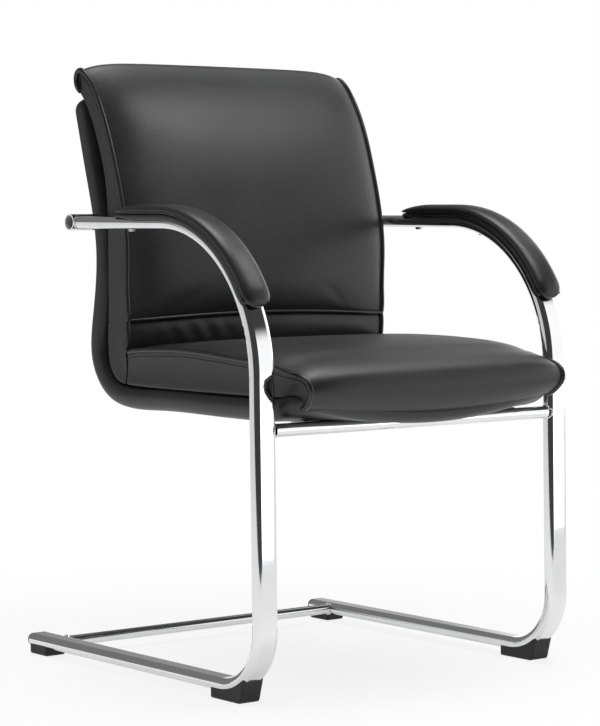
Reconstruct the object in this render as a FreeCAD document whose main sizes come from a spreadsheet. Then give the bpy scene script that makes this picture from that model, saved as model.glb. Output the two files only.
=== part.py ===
"""Cantilever visitor chair: two bent flat-oval side tubes, a wrapped one-piece shell and boxed cushions.

Frame: +Z up, the sitter faces -Y, X runs across the chair, and the floor is Z = 0.
The origin lies on the floor at the middle of the chair.
"""
import FreeCAD, Part
import math
import os

import Sketcher

doc = FreeCAD.newDocument("visitor_chair")
sheet = doc.addObject("Spreadsheet::Sheet", "Dims")

# Driving dimensions in millimetres, angles in degrees
DIMENSIONS = {
    # side tubes, bent from one flat-oval tube each
    "frame_half_width": 270,
    "tube_width": 38,
    "tube_depth": 18,
    "tube_wall": 2,
    "arm_height": 647,
    "arm_bend_radius": 210,
    "leg_foot_y": -247,
    "leg_lean": 1.15,
    "floor_bend_radius": 82,
    "runner_height": 20,
    "runner_end_y": 310,
    "runner_cap": 2,
    # round tubes that tie the frame together
    "stub_y": 192,
    "stub_diameter": 24,
    "stub_wall": 2,
    "stub_floor": 4,
    "stub_end_x": 290.5,
    "front_bar_y": -240,
    "front_bar_height": 370.5,
    "front_bar_diameter": 18,
    "floor_bar_y": 262,
    "floor_bar_diameter": 16,
    "bar_wall": 1.5,
    # feet
    "foot_front_y": -212,
    "foot_brow_y": -221,
    "foot_brow_height": 34,
    "foot_rear_y": -147,
    "foot_half_width": 17.5,
    "foot_edge": 2,
    "rear_foot_length": 46,
    # shell: middle line of the back and seat, as corners with bend radii
    "shell_half_width": 243,
    "shell_thickness": 33,
    "shell_rim_radius": 15,
    "shell_end_radius": 11,
    "shell_top_y": 244.5,
    "shell_top_z": 826,
    "waist_y": 181,
    "waist_z": 607,
    "waist_radius": 263,
    "heel_y": 213.6,
    "seat_line_z": 396.5,
    "heel_radius": 71.5,
    "shell_front_y": -283,
    "core_half_width": 232,
    "core_thickness": 15,
    "core_top_inset": 14,
    "core_front_inset": 58,
    "core_edge_radius": 2,
    # cushions
    "cushion_half_width": 240,
    "cushion_inner_width": 150,
    "seat_crown": 22,
    "back_crown": 18,
    "seat_rear_y": 108,
    "seat_rear_z": 461,
    "seat_top_y": -30,
    "seat_top_z": 467,
    "seat_slope_y": -215,
    "seat_slope_z": 457,
    "seat_nose_y": -306,
    "seat_nose_z": 446,
    "seat_lip_z": 396,
    "seat_bulge": 6,
    "seat_lip_radius": 14,
    "seat_nose_radius": 34,
    "seat_slope_radius": 160,
    "seat_top_radius": 300,
    "seat_rear_share": 0.8,
    "seat_nose_share": 0.6,
    "crown_inner_share": 0.72,
    "lumbar_back_inset": 16,
    "lumbar_fold": 4,
    "lumbar_fold_share": 0.3,
    "lumbar_seam_z": 499,
    "lumbar_seam_y": 116,
    "back_waist_y": 113,
    "back_waist_z": 612,
    "back_upper_y": 147,
    "back_upper_z": 742,
    "back_shoulder_y": 190,
    "back_shoulder_z": 826,
    "back_crest_y": 234,
    "back_crest_z": 876,
    "back_roll_y": 256,
    "back_roll_gap": 2,
    "back_roll_radius": 8,
    "back_crest_rear_radius": 10,
    "back_crest_radius": 11,
    "back_shoulder_radius": 120,
    "back_upper_radius": 250,
    "back_waist_radius": 200,
    "back_crest_share": 0.3,
    "back_shoulder_share": 0.8,
    # arm pads
    "pad_rear_y": 93,
    "pad_wrap": 64,
    "pad_base_wrap": 62,
    "pad_width": 46,
    "pad_thickness": 13,
    "pad_base_width": 43,
    "pad_base_thickness": 5,
    "pad_base_skirt": 5.5,
    "pad_base_round": 3.5,
    "pad_round": 5.8,
    "pad_screw_y": 62,
    "pad_screw_turn": 15.5,
    # brackets and fasteners
    "bracket_x": 178,
    "bracket_length": 62,
    "bracket_width": 34,
    "bracket_thickness": 2.5,
    "first_seat_screw": 26.5,
    "screw_pitch": 20.4,
    "screw_top_share": 0.4,
    "screw_shank": 6,
    "screw_head": 11,
    "screw_head_height": 3.5,
    "arm_bolt_shank": 8,
    "arm_bolt_head": 13,
    "insert_diameter": 10,
    "insert_length": 22,
    "foot_screw_y": -156,
}

for row, (alias, value) in enumerate(DIMENSIONS.items(), start=1):
    sheet.set(f"A{row}", alias)
    sheet.set(f"B{row}", str(value))
    sheet.setAlias(f"B{row}", alias)
doc.recompute()


class Size:
    """A length that carries both its value and the expression which binds it to the sheet."""

    def __init__(self, value, text):
        self.value = value
        self.text = text

    def __add__(self, other):
        other = as_size(other)
        return Size(self.value + other.value, f"({self.text} + {other.text})")

    def __sub__(self, other):
        other = as_size(other)
        return Size(self.value - other.value, f"({self.text} - {other.text})")

    def __mul__(self, other):
        other = as_size(other)
        return Size(self.value * other.value, f"({self.text} * {other.text})")

    def __truediv__(self, other):
        other = as_size(other)
        return Size(self.value / other.value, f"({self.text} / {other.text})")

    def __neg__(self):
        return Size(-self.value, f"(-1 * {self.text})")


def as_size(number):
    return number if isinstance(number, Size) else Size(number, repr(float(number)))


def dim(alias):
    return Size(float(DIMENSIONS[alias]), f"Dims.{alias}")


def tangent(angle):
    return Size(math.tan(math.radians(angle.value)), f"tan({angle.text})")


def sine(angle):
    return Size(math.sin(math.radians(angle.value)), f"sin({angle.text})")


def bind(target, path, length):
    target.setExpression(path, length.text)


def new_body(name):
    return doc.addObject("PartDesign::Body", name)


def new_sketch(body, name, role, offset=None):
    """Sketch on one of the body's own origin planes, moved along the plane's normal by offset."""
    sketch = body.newObject("Sketcher::SketchObject", name)
    plane = next(item for item in body.Origin.OriginFeatures if item.Role == role)
    sketch.AttachmentSupport = [(plane, "")]
    sketch.MapMode = "FlatFace"
    if offset is not None:
        sketch.AttachmentOffset = FreeCAD.Placement(FreeCAD.Vector(0, 0, offset.value), FreeCAD.Rotation())
        bind(sketch, "AttachmentOffset.Base.z", offset)
    return sketch


def drive(sketch, constraint, length):
    index = sketch.addConstraint(constraint)
    bind(sketch, f"Constraints[{index}]", length)


def pin(sketch, geometry, point, across, up):
    """Hold a point of the sketch at two driven coordinates."""
    drive(sketch, Sketcher.Constraint("DistanceX", geometry, point, across.value), across)
    drive(sketch, Sketcher.Constraint("DistanceY", geometry, point, up.value), up)


def rounded_chain(sketch, corners, radii, closed):
    """Lines through driven corners, with a tangent arc of a driven radius at each rounded corner."""
    START, END = 1, 2
    places = [FreeCAD.Vector(across.value, up.value, 0) for across, up in corners]
    count = len(places)
    sides = count if closed else count - 1
    guides = []
    for side in range(sides):
        segment = Part.LineSegment(places[side], places[(side + 1) % count])
        guides.append(sketch.addGeometry(segment, True))
        pin(sketch, guides[side], START, *corners[side])
    if not closed:
        pin(sketch, guides[-1], END, *corners[-1])
    else:
        sketch.addConstraint(Sketcher.Constraint("Coincident", guides[-1], END, guides[0], START))
    for side in range(sides - 1):
        sketch.addConstraint(Sketcher.Constraint("Coincident", guides[side], END, guides[side + 1], START))

    def rounding(corner):
        """Tangent points and centre of the arc at a corner, or None where the corner is sharp."""
        if radii[corner] is None:
            return None
        before = (places[corner - 1] - places[corner]).normalize()
        after = (places[(corner + 1) % count] - places[corner]).normalize()
        half = before.getAngle(after) / 2
        reach = radii[corner].value / math.tan(half)
        centre = places[corner] + (before + after).normalize() * (radii[corner].value / math.sin(half))
        return places[corner] + before * reach, places[corner] + after * reach, centre

    rounds = [rounding(corner) for corner in range(count)]
    lines = []
    for side in range(sides):
        far = (side + 1) % count
        start = places[side] if rounds[side] is None else rounds[side][1]
        end = places[far] if rounds[far] is None else rounds[far][0]
        line = sketch.addGeometry(Part.LineSegment(start, end), False)
        lines.append(line)
        for corner, point, guide_point in ((side, START, START), (far, END, END)):
            if rounds[corner] is None:
                sketch.addConstraint(
                    Sketcher.Constraint("Coincident", line, point, guides[side], guide_point))
            else:
                sketch.addConstraint(Sketcher.Constraint("PointOnObject", line, point, guides[side]))
    for corner in range(count):
        if rounds[corner] is None:
            continue
        enter, leave, centre = rounds[corner]
        turn = (enter - places[corner]).cross(leave - places[corner]).z
        first, second = (enter, leave) if turn < 0 else (leave, enter)
        angles = [math.atan2(place.y - centre.y, place.x - centre.x) for place in (first, second)]
        circle = Part.Circle(centre, FreeCAD.Vector(0, 0, 1), radii[corner].value)
        arc = sketch.addGeometry(Part.ArcOfCircle(circle, *angles), False)
        points = (START, END) if turn < 0 else (END, START)
        sketch.addConstraint(
            Sketcher.Constraint("Tangent", lines[corner - 1], END, arc, points[0]))
        sketch.addConstraint(
            Sketcher.Constraint("Tangent", arc, points[1], lines[corner % sides], START))
        drive(sketch, Sketcher.Constraint("Radius", arc, radii[corner].value), radii[corner])


def rounded_rectangle(sketch, half_across, low, high, radius):
    corners = [(-half_across, low), (half_across, low), (half_across, high), (-half_across, high)]
    rounded_chain(sketch, corners, [radius] * 4, True)


def sweep(name, path_sketch, half_across, low, high, radius, offset):
    """Body made by a rounded rectangle carried along a path in the YZ plane."""
    body = new_body(name)
    path = new_sketch(body, f"{name}_path", "YZ_Plane")
    path_sketch(path)
    profile = new_sketch(body, f"{name}_section", "XZ_Plane", offset)
    rounded_rectangle(profile, half_across, low, high, radius)
    doc.recompute()
    pipe = body.newObject("PartDesign::AdditivePipe", f"{name}_pipe")
    pipe.Profile = profile
    pipe.Spine = (path, [f"Edge{number + 1}" for number in range(len(path.Shape.Edges))])
    doc.recompute()
    return body


def place(target, x=None, y=None, z=None, axis=None, turn=None):
    """Placement of an object, bound to the sheet where a size is driven."""
    shift = [as_size(0) if item is None else as_size(item) for item in (x, y, z)]
    rotation = FreeCAD.Rotation()
    if axis is not None:
        rotation = FreeCAD.Rotation(FreeCAD.Vector(*axis), as_size(turn).value)
    target.Placement = FreeCAD.Placement(FreeCAD.Vector(*[item.value for item in shift]), rotation)
    for letter, item in zip("xyz", shift):
        bind(target, f"Placement.Base.{letter}", item)


def cylinder(name, radius, height):
    item = doc.addObject("Part::Cylinder", name)
    bind(item, "Radius", radius)
    bind(item, "Height", height)
    return item


def cut(name, base, tool):
    item = doc.addObject("Part::Cut", name)
    item.Base = base
    item.Tool = tool
    return item


def fuse(name, pieces):
    item = doc.addObject("Part::MultiFuse", name)
    item.Shapes = pieces
    return item


def group(name, pieces):
    """Several separate solids of one kind as one object."""
    item = doc.addObject("Part::Compound", name)
    item.Links = pieces
    return item


def turned(name, profile):
    """Body of revolution about its own Z axis from a closed outline of (radius, height) corners."""
    body = new_body(name)
    sketch = new_sketch(body, f"{name}_outline", "XZ_Plane")
    rounded_chain(sketch, profile, [None] * len(profile), True)
    turn = body.newObject("PartDesign::Revolution", f"{name}_turn")
    turn.Profile = sketch
    turn.ReferenceAxis = (sketch, ["V_Axis"])
    turn.Angle = 360
    doc.recompute()
    return body


NODES = {}
SIDES = (("left", -1), ("right", 1))
nothing = as_size(0)
# A flat oval keeps a hair of straight side between its two half rounds
ROUND_EDGE = as_size(0.01)
# Edges are picked out by their place to within this distance
CLOSE = 0.01

# Side tubes: arm, large front bend, leaning leg, floor bend and runner in one piece
half_depth = dim("tube_depth") * 0.5
half_width = dim("tube_width") * 0.5
leg_top_y = dim("leg_foot_y") + (dim("arm_height") - dim("runner_height")) * tangent(dim("leg_lean"))
arm_bend_y = leg_top_y + dim("arm_bend_radius") * tangent(as_size(45) - dim("leg_lean") * 0.5)
arm_bend_z = dim("arm_height") - dim("arm_bend_radius")
arm_under = dim("arm_height") - half_depth
arm_top = dim("arm_height") + half_depth


def side_path(sketch):
    corners = [
        (dim("stub_y"), dim("arm_height")),
        (leg_top_y, dim("arm_height")),
        (dim("leg_foot_y"), dim("runner_height")),
        (dim("runner_end_y"), dim("runner_height")),
    ]
    rounded_chain(sketch, corners, [None, dim("arm_bend_radius"), dim("floor_bend_radius"), None], False)


# Arm pad: a wrapped pad on a thin base, both following the arm round its front bend
def pad_path(height, wrap):
    """Path along the arm at a height above its middle line, ending part way round the front bend."""
    radius = dim("arm_bend_radius") + height
    level = dim("arm_height") + height
    end_y = arm_bend_y - radius * sine(wrap)

    def draw(sketch):
        START, END, CENTRE = 1, 2, 3
        top = FreeCAD.Vector(arm_bend_y.value, level.value, 0)
        rear = FreeCAD.Vector(dim("pad_rear_y").value, level.value, 0)
        line = sketch.addGeometry(Part.LineSegment(rear, top), False)
        pin(sketch, line, START, dim("pad_rear_y"), level)
        centre = FreeCAD.Vector(arm_bend_y.value, arm_bend_z.value, 0)
        circle = Part.Circle(centre, FreeCAD.Vector(0, 0, 1), radius.value)
        quarter = math.pi / 2
        arc = sketch.addGeometry(
            Part.ArcOfCircle(circle, quarter, quarter + math.radians(wrap.value)), False)
        pin(sketch, arc, CENTRE, arm_bend_y, arm_bend_z)
        sketch.addConstraint(Sketcher.Constraint("Tangent", line, END, arc, START))
        drive(sketch, Sketcher.Constraint("DistanceX", arc, END, end_y.value), end_y)

    return draw


def pad_screw(name):
    """Two screws from below the arm: one on its level part and one on the bend, heads outside the tube."""
    length = dim("tube_depth") + dim("pad_base_thickness") + dim("pad_thickness") * 0.5
    shank = dim("screw_shank") * 0.5
    profile = [
        (nothing, -dim("screw_head_height")),
        (dim("screw_head") * dim("screw_top_share"), -dim("screw_head_height")),
        (dim("screw_head") * 0.5, nothing),
        (shank, nothing),
        (shank, length),
        (nothing, length),
    ]
    level = turned(f"{name}_level", profile)
    place(level, y=dim("pad_screw_y"), z=arm_under)
    tilted = turned(f"{name}_tilted", profile)
    inner = dim("arm_bend_radius") - half_depth
    turn = dim("pad_screw_turn")
    cosine = sine(as_size(90) - turn)
    place(tilted, y=arm_bend_y - inner * sine(turn), z=arm_bend_z + inner * cosine, axis=(1, 0, 0), turn=turn)
    return level, tilted


pad_screws = []
foot_screws = []
arm_bolts = []
inserts = []
bore_half_width = half_width - dim("tube_wall")
bore_half_depth = half_depth - dim("tube_wall")

for side, sign in SIDES:
    frame_x = dim("frame_half_width") * sign
    screws = pad_screw(f"{side}_pad_screw")
    for screw in screws:
        screw.Placement.Base.x = frame_x.value
        bind(screw, "Placement.Base.x", frame_x)
    pad_screws.extend(screws)

    screw_z = dim("foot_edge") * 0.5
    foot_profile = [
        (nothing, nothing),
        (dim("screw_head") * 0.5, nothing),
        (dim("screw_head") * 0.5, dim("screw_head_height")),
        (dim("screw_shank") * 0.5, dim("screw_head_height")),
        (dim("screw_shank") * 0.5, dim("runner_height") - bore_half_depth),
        (nothing, dim("runner_height") - bore_half_depth),
    ]
    rear_screw_y = dim("runner_end_y") - dim("rear_foot_length") * 0.5
    for end, screw_y in (("front", dim("foot_screw_y")), ("rear", rear_screw_y)):
        screw = turned(f"{side}_{end}_foot_screw", foot_profile)
        place(screw, frame_x, screw_y, screw_z)
        foot_screws.append(screw)

    envelope = sweep(f"{side}_tube_outside", side_path, half_width, arm_under, arm_top,
                     half_depth - ROUND_EDGE, -dim("stub_y"))
    bore = sweep(f"{side}_tube_inside", side_path, bore_half_width, arm_under + dim("tube_wall"),
                 arm_top - dim("tube_wall"), bore_half_depth - ROUND_EDGE, -dim("stub_y"))
    place(envelope, frame_x)
    place(bore, frame_x)

    # The round stub at the rear of the arm carries the back; its mouth is open to the outside
    stub_radius = dim("stub_diameter") * 0.5
    stub_length = dim("stub_end_x") - dim("shell_half_width")
    stub = turned(f"{side}_arm_stub", [
        (dim("arm_bolt_shank") * 0.5, nothing),
        (stub_radius, nothing),
        (stub_radius, stub_length),
        (stub_radius - dim("stub_wall"), stub_length),
        (stub_radius - dim("stub_wall"), dim("stub_floor")),
        (dim("arm_bolt_shank") * 0.5, dim("stub_floor")),
    ])
    place(stub, dim("shell_half_width") * sign, dim("stub_y"), dim("arm_height"), (0, 1, 0), 90 * sign)
    NODES[f"{side}_arm_stub"] = stub

    saddle = cylinder(f"{side}_arm_saddle", stub_radius, dim("tube_width") * 2)
    place(saddle, frame_x - dim("tube_width"), dim("stub_y"), dim("arm_height"), (0, 1, 0), 90)
    hollow = cut(f"{side}_tube_hollow", envelope, bore)
    notched = cut(f"{side}_tube_notched", hollow, saddle)
    own_screws = group(f"{side}_tube_screw_holes", list(screws) + foot_screws[-2:])
    NODES[f"{side}_side_tube"] = cut(f"{side}_side_tube", notched, own_screws)

    # Bolt through the floor of the stub into a threaded insert in the edge of the shell's core
    bolt_reach = dim("shell_half_width") - dim("core_half_width") + dim("insert_length")
    bolt = turned(f"{side}_arm_bolt", [
        (nothing, -bolt_reach),
        (dim("arm_bolt_shank") * 0.5, -bolt_reach),
        (dim("arm_bolt_shank") * 0.5, dim("stub_floor")),
        (dim("arm_bolt_head") * 0.5, dim("stub_floor")),
        (dim("arm_bolt_head") * 0.5, dim("stub_floor") + dim("arm_bolt_shank")),
        (nothing, dim("stub_floor") + dim("arm_bolt_shank")),
    ])
    place(bolt, dim("shell_half_width") * sign, dim("stub_y"), dim("arm_height"), (0, 1, 0), 90 * sign)
    arm_bolts.append(bolt)
    insert = turned(f"{side}_insert", [
        (dim("arm_bolt_shank") * 0.5, -dim("insert_length")),
        (dim("insert_diameter") * 0.5, -dim("insert_length")),
        (dim("insert_diameter") * 0.5, nothing),
        (dim("arm_bolt_shank") * 0.5, nothing),
    ])
    place(insert, dim("core_half_width") * sign, dim("stub_y"), dim("arm_height"), (0, 1, 0), 90 * sign)
    inserts.append(insert)

    # Cap in the open rear end of the runner
    cap = new_body(f"{side}_runner_cap")
    runner_low = dim("runner_height") - half_depth
    runner_high = dim("runner_height") + half_depth
    cap_face = new_sketch(cap, f"{side}_cap_face", "XZ_Plane", -dim("runner_end_y"))
    rounded_rectangle(cap_face, half_width, runner_low, runner_high, half_depth - ROUND_EDGE)
    head = cap.newObject("PartDesign::Pad", f"{side}_cap_head")
    head.Profile = cap_face
    head.Reversed = True
    bind(head, "Length", dim("runner_cap"))
    cap_tongue = new_sketch(cap, f"{side}_cap_tongue", "XZ_Plane", -dim("runner_end_y"))
    rounded_rectangle(cap_tongue, bore_half_width, runner_low + dim("tube_wall"),
                      runner_high - dim("tube_wall"), bore_half_depth - ROUND_EDGE)
    tongue = cap.newObject("PartDesign::Pad", f"{side}_cap_plug")
    tongue.Profile = cap_tongue
    bind(tongue, "Length", dim("runner_cap") * 5)
    place(cap, frame_x)
    NODES[f"{side}_runner_cap"] = cap

    # Front foot cradles the floor bend, rear foot lies under the end of the runner
    front_foot = new_body(f"{side}_front_foot_block")
    outline = new_sketch(front_foot, f"{side}_front_foot_outline", "YZ_Plane", -dim("foot_half_width"))
    rounded_chain(outline, [
        (dim("foot_rear_y"), nothing),
        (dim("foot_front_y"), nothing),
        (dim("foot_brow_y"), dim("foot_brow_height")),
        (dim("foot_brow_y") + dim("tube_depth"), dim("foot_brow_height") - dim("foot_edge") * 3),
        (dim("foot_rear_y") - dim("tube_depth") * 1.5, dim("runner_height") - dim("foot_edge") * 0.5),
        (dim("foot_rear_y"), dim("runner_height") - dim("foot_edge") * 2),
    ], [None, dim("foot_edge") * 3, None, None, None, None], True)
    block = front_foot.newObject("PartDesign::Pad", f"{side}_front_foot_pad")
    block.Profile = outline
    bind(block, "Length", dim("foot_half_width") * 2)
    rear_foot = new_body(f"{side}_rear_foot_block")
    plan = new_sketch(rear_foot, f"{side}_rear_foot_plan", "XY_Plane")
    foot_start = dim("runner_end_y") - dim("rear_foot_length")
    rounded_chain(plan, [
        (-dim("foot_half_width"), foot_start),
        (dim("foot_half_width"), foot_start),
        (dim("foot_half_width"), dim("runner_end_y")),
        (-dim("foot_half_width"), dim("runner_end_y")),
    ], [dim("foot_edge") * 2] * 4, True)
    block = rear_foot.newObject("PartDesign::Pad", f"{side}_rear_foot_pad")
    block.Profile = plan
    bind(block, "Length", dim("runner_height"))
    for end, foot, screw in (("front", front_foot, foot_screws[-2]), ("rear", rear_foot, foot_screws[-1])):
        doc.recompute()
        long_edges = []
        for number, edge in enumerate(foot.Shape.Edges, start=1):
            middle = edge.CenterOfMass
            on_floor = abs(middle.z) < CLOSE and abs(abs(middle.x) - dim("foot_half_width").value) < CLOSE
            if on_floor:
                long_edges.append(f"Edge{number}")
        solid = foot.Tip
        chamfer = foot.newObject("PartDesign::Chamfer", f"{side}_{end}_foot_chamfer")
        chamfer.Base = (solid, long_edges)
        bind(chamfer, "Size", dim("foot_edge"))
        foot.Tip = chamfer
        place(foot, frame_x)
        # The screw's recess is open to the floor
        recess = cylinder(f"{side}_{end}_foot_recess", dim("screw_head") * 0.5, screw_z)
        screw_y = dim("foot_screw_y") if end == "front" else rear_screw_y
        place(recess, frame_x, screw_y, nothing)
        seated = cut(f"{side}_{end}_foot_seated", foot, envelope)
        bored = cut(f"{side}_{end}_foot_bored", seated, screw)
        NODES[f"{side}_{end}_foot"] = cut(f"{side}_{end}_foot", bored, recess)

    # Pad base, whose skirts reach down over both sides of the arm, and pad
    base_low = half_depth - dim("pad_base_skirt")
    base_high = half_depth + dim("pad_base_thickness")
    pad_high = base_high + dim("pad_thickness")
    base_strip = sweep(f"{side}_pad_base_strip", pad_path((base_low + base_high) * 0.5, dim("pad_base_wrap")),
                       dim("pad_base_width") * 0.5, dim("arm_height") + base_low, dim("arm_height") + base_high,
                       dim("pad_base_round"), -dim("pad_rear_y"))
    place(base_strip, frame_x)
    base = cut(f"{side}_pad_base_channel", base_strip, envelope)
    pad = sweep(f"{side}_pad_strip", pad_path((base_high + pad_high) * 0.5, dim("pad_wrap")),
                dim("pad_width") * 0.5, dim("arm_height") + base_high, dim("arm_height") + pad_high,
                dim("pad_round"), -dim("pad_rear_y"))
    place(pad, frame_x)
    both_screws = group(f"{side}_pad_screw_holes", list(screws))
    for label, strip in (("arm_pad_base", base), ("arm_pad", pad)):
        NODES[f"{side}_{label}"] = cut(f"{side}_{label}", strip, both_screws)

NODES["arm_pad_screws"] = group("arm_pad_screws", pad_screws)
NODES["foot_screws"] = group("foot_screws", foot_screws)
NODES["arm_bolts"] = group("arm_bolts", arm_bolts)
NODES["core_inserts"] = group("core_inserts", inserts)

# Cross tubes between the side tubes: one under the seat and one on the floor
inner_span = dim("frame_half_width") - half_width
for name, bar_y, bar_z, diameter in (
    ("front_crossbar", dim("front_bar_y"), dim("front_bar_height"), dim("front_bar_diameter")),
    ("floor_crossbar", dim("floor_bar_y"), dim("runner_height"), dim("floor_bar_diameter")),
):
    radius = diameter * 0.5
    bar = turned(name, [
        (radius - dim("bar_wall"), -inner_span),
        (radius, -inner_span),
        (radius, inner_span),
        (radius - dim("bar_wall"), inner_span),
    ])
    place(bar, nothing, bar_y, bar_z, (0, 1, 0), 90)
    NODES[name] = bar


# Shell: bent plywood core inside a padded, wrapped cover with a rolled rim
def shell_path(top_inset, front_inset):
    """Middle line of the shell, shortened at both ends by the insets along the two straight runs."""
    rise = dim("shell_top_z") - dim("waist_z")
    lean = (dim("shell_top_y") - dim("waist_y")) / rise

    def draw(sketch):
        corners = [
            (dim("shell_front_y") + front_inset, dim("seat_line_z")),
            (dim("heel_y"), dim("seat_line_z")),
            (dim("waist_y"), dim("waist_z")),
            (dim("shell_top_y") - lean * top_inset, dim("shell_top_z") - top_inset),
        ]
        rounded_chain(sketch, corners, [None, dim("heel_radius"), dim("waist_radius"), None], False)

    return draw


def shell_sweep(name, half_across, thickness, radius, top_inset, front_inset):
    half = thickness * 0.5
    return sweep(name, shell_path(top_inset, front_inset), half_across, dim("seat_line_z") - half,
                 dim("seat_line_z") + half, radius, -(dim("shell_front_y") + front_inset))


shell_outside = shell_sweep("shell_outside", dim("shell_half_width"), dim("shell_thickness"),
                            dim("shell_rim_radius"), nothing, nothing)
end_edges = []
top_middle = FreeCAD.Vector(0, dim("shell_top_y").value, dim("shell_top_z").value)
for number, edge in enumerate(shell_outside.Shape.Edges, start=1):
    middle = edge.CenterOfMass
    at_front = abs(middle.y - dim("shell_front_y").value) < CLOSE
    from_top = middle - top_middle
    along_back = (top_middle - FreeCAD.Vector(0, dim("waist_y").value, dim("waist_z").value)).normalize()
    at_top = abs(from_top.dot(along_back)) < CLOSE
    if at_front or at_top:
        end_edges.append(f"Edge{number}")
shell_pipe = shell_outside.Tip
rounding = shell_outside.newObject("PartDesign::Fillet", "shell_end_rounding")
rounding.Base = (shell_pipe, end_edges)
bind(rounding, "Radius", dim("shell_end_radius"))
shell_outside.Tip = rounding
doc.recompute()

core_block = shell_sweep("shell_core_block", dim("core_half_width"), dim("core_thickness"),
                         dim("core_edge_radius"), dim("core_top_inset"), dim("core_front_inset"))

# Brackets welded to the rear of the front crossbar, each held to the seat by two screws in tee nuts
seat_screws = []
tee_nuts = []
shell_under = dim("seat_line_z") - dim("shell_thickness") * 0.5
core_under = dim("seat_line_z") - dim("core_thickness") * 0.5
core_top = dim("seat_line_z") + dim("core_thickness") * 0.5
for side, sign in SIDES:
    bracket = new_body(f"{side}_bracket_plate")
    plan = new_sketch(bracket, f"{side}_bracket_plan", "XY_Plane")
    plate_front = dim("front_bar_y") + dim("bracket_thickness")
    plate_rear = plate_front + dim("bracket_length")
    bracket_half = dim("bracket_width") * 0.5
    rounded_chain(plan, [
        (-bracket_half, plate_front),
        (bracket_half, plate_front),
        (bracket_half, plate_rear),
        (-bracket_half, plate_rear),
    ], [dim("foot_edge"), dim("foot_edge"), dim("screw_head"), dim("screw_head")], True)
    plate = bracket.newObject("PartDesign::Pad", f"{side}_bracket_pad")
    plate.Profile = plan
    bind(plate, "Length", dim("bracket_thickness"))
    place(bracket, dim("bracket_x") * sign, nothing, shell_under - dim("bracket_thickness"))
    saddle = cylinder(f"{side}_bracket_saddle", dim("front_bar_diameter") * 0.5, dim("bracket_width") * 2)
    saddle_x = dim("bracket_x") * sign - dim("bracket_width")
    place(saddle, saddle_x, dim("front_bar_y"), dim("front_bar_height"), (0, 1, 0), 90)
    fitted = cut(f"{side}_bracket_fitted", bracket, saddle)
    own = []
    for number in (0, 1):
        screw_y = dim("front_bar_y") + dim("first_seat_screw") + dim("screw_pitch") * number
        head_z = shell_under - dim("bracket_thickness")
        reach = core_top - head_z
        screw = turned(f"{side}_seat_screw_{number + 1}", [
            (nothing, -dim("screw_head_height")),
            (dim("screw_head") * dim("screw_top_share"), -dim("screw_head_height")),
            (dim("screw_head") * 0.5, nothing),
            (dim("screw_shank") * 0.5, nothing),
            (dim("screw_shank") * 0.5, reach),
            (nothing, reach),
        ])
        place(screw, dim("bracket_x") * sign, screw_y, head_z)
        own.append(screw)
        nut = turned(f"{side}_tee_nut_{number + 1}", [
            (dim("screw_shank") * 0.5, nothing),
            (dim("screw_shank") * 0.75, nothing),
            (dim("screw_shank") * 0.75, dim("core_thickness")),
            (dim("screw_shank") * 0.5, dim("core_thickness")),
        ])
        place(nut, dim("bracket_x") * sign, screw_y, core_under)
        tee_nuts.append(nut)
    seat_screws.extend(own)
    NODES[f"{side}_seat_bracket"] = cut(
        f"{side}_seat_bracket", fitted, group(f"{side}_bracket_holes", own))
NODES["seat_screws"] = group("seat_screws", seat_screws)
NODES["seat_tee_nuts"] = group("seat_tee_nuts", tee_nuts)

core_hardware = fuse("core_hardware", inserts + tee_nuts + arm_bolts + seat_screws)
NODES["shell_core"] = cut("shell_core", core_block, core_hardware)
padded = cut("shell_padding", shell_outside, core_block)
NODES["shell_cover"] = cut("shell_cover", padded, core_hardware)


# Cushions: boxed side bands, crowned tops, drawn in by the crown towards both sides
def crowned(name, outline):
    """Loft across the chair: outline(share) gives the side view at a share, 0 to 1, of the full crown."""
    stations = [
        (-dim("cushion_half_width"), nothing),
        (-dim("cushion_inner_width"), dim("crown_inner_share")),
        (nothing, as_size(1)),
        (dim("cushion_inner_width"), dim("crown_inner_share")),
        (dim("cushion_half_width"), nothing),
    ]
    body = new_body(f"{name}_block")
    sections = []
    for number, (station, share) in enumerate(stations, start=1):
        section = new_sketch(body, f"{name}_section_{number}", "YZ_Plane", station)
        corners, radii = outline(share)
        rounded_chain(section, corners, radii, True)
        sections.append(section)
    doc.recompute()
    loft = body.newObject("PartDesign::AdditiveLoft", f"{name}_loft")
    loft.Profile = sections[0]
    loft.Sections = sections[1:]
    doc.recompute()
    NODES[name] = cut(name, body, shell_outside)


def seat_outline(share):
    rise = dim("seat_crown") * share
    swell = dim("seat_bulge") * share
    corners = [
        (dim("seat_rear_y"), dim("seat_line_z")),
        (dim("shell_front_y"), dim("seat_lip_z")),
        (dim("seat_nose_y") - swell, dim("seat_lip_z")),
        (dim("seat_nose_y") - swell, dim("seat_nose_z") + rise * dim("seat_nose_share")),
        (dim("seat_slope_y"), dim("seat_slope_z") + rise),
        (dim("seat_top_y"), dim("seat_top_z") + rise),
        (dim("seat_rear_y"), dim("seat_rear_z") + rise * dim("seat_rear_share")),
    ]
    radii = [None, None, dim("seat_lip_radius"), dim("seat_nose_radius"), dim("seat_slope_radius"),
             dim("seat_top_radius"), None]
    return corners, radii


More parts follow.
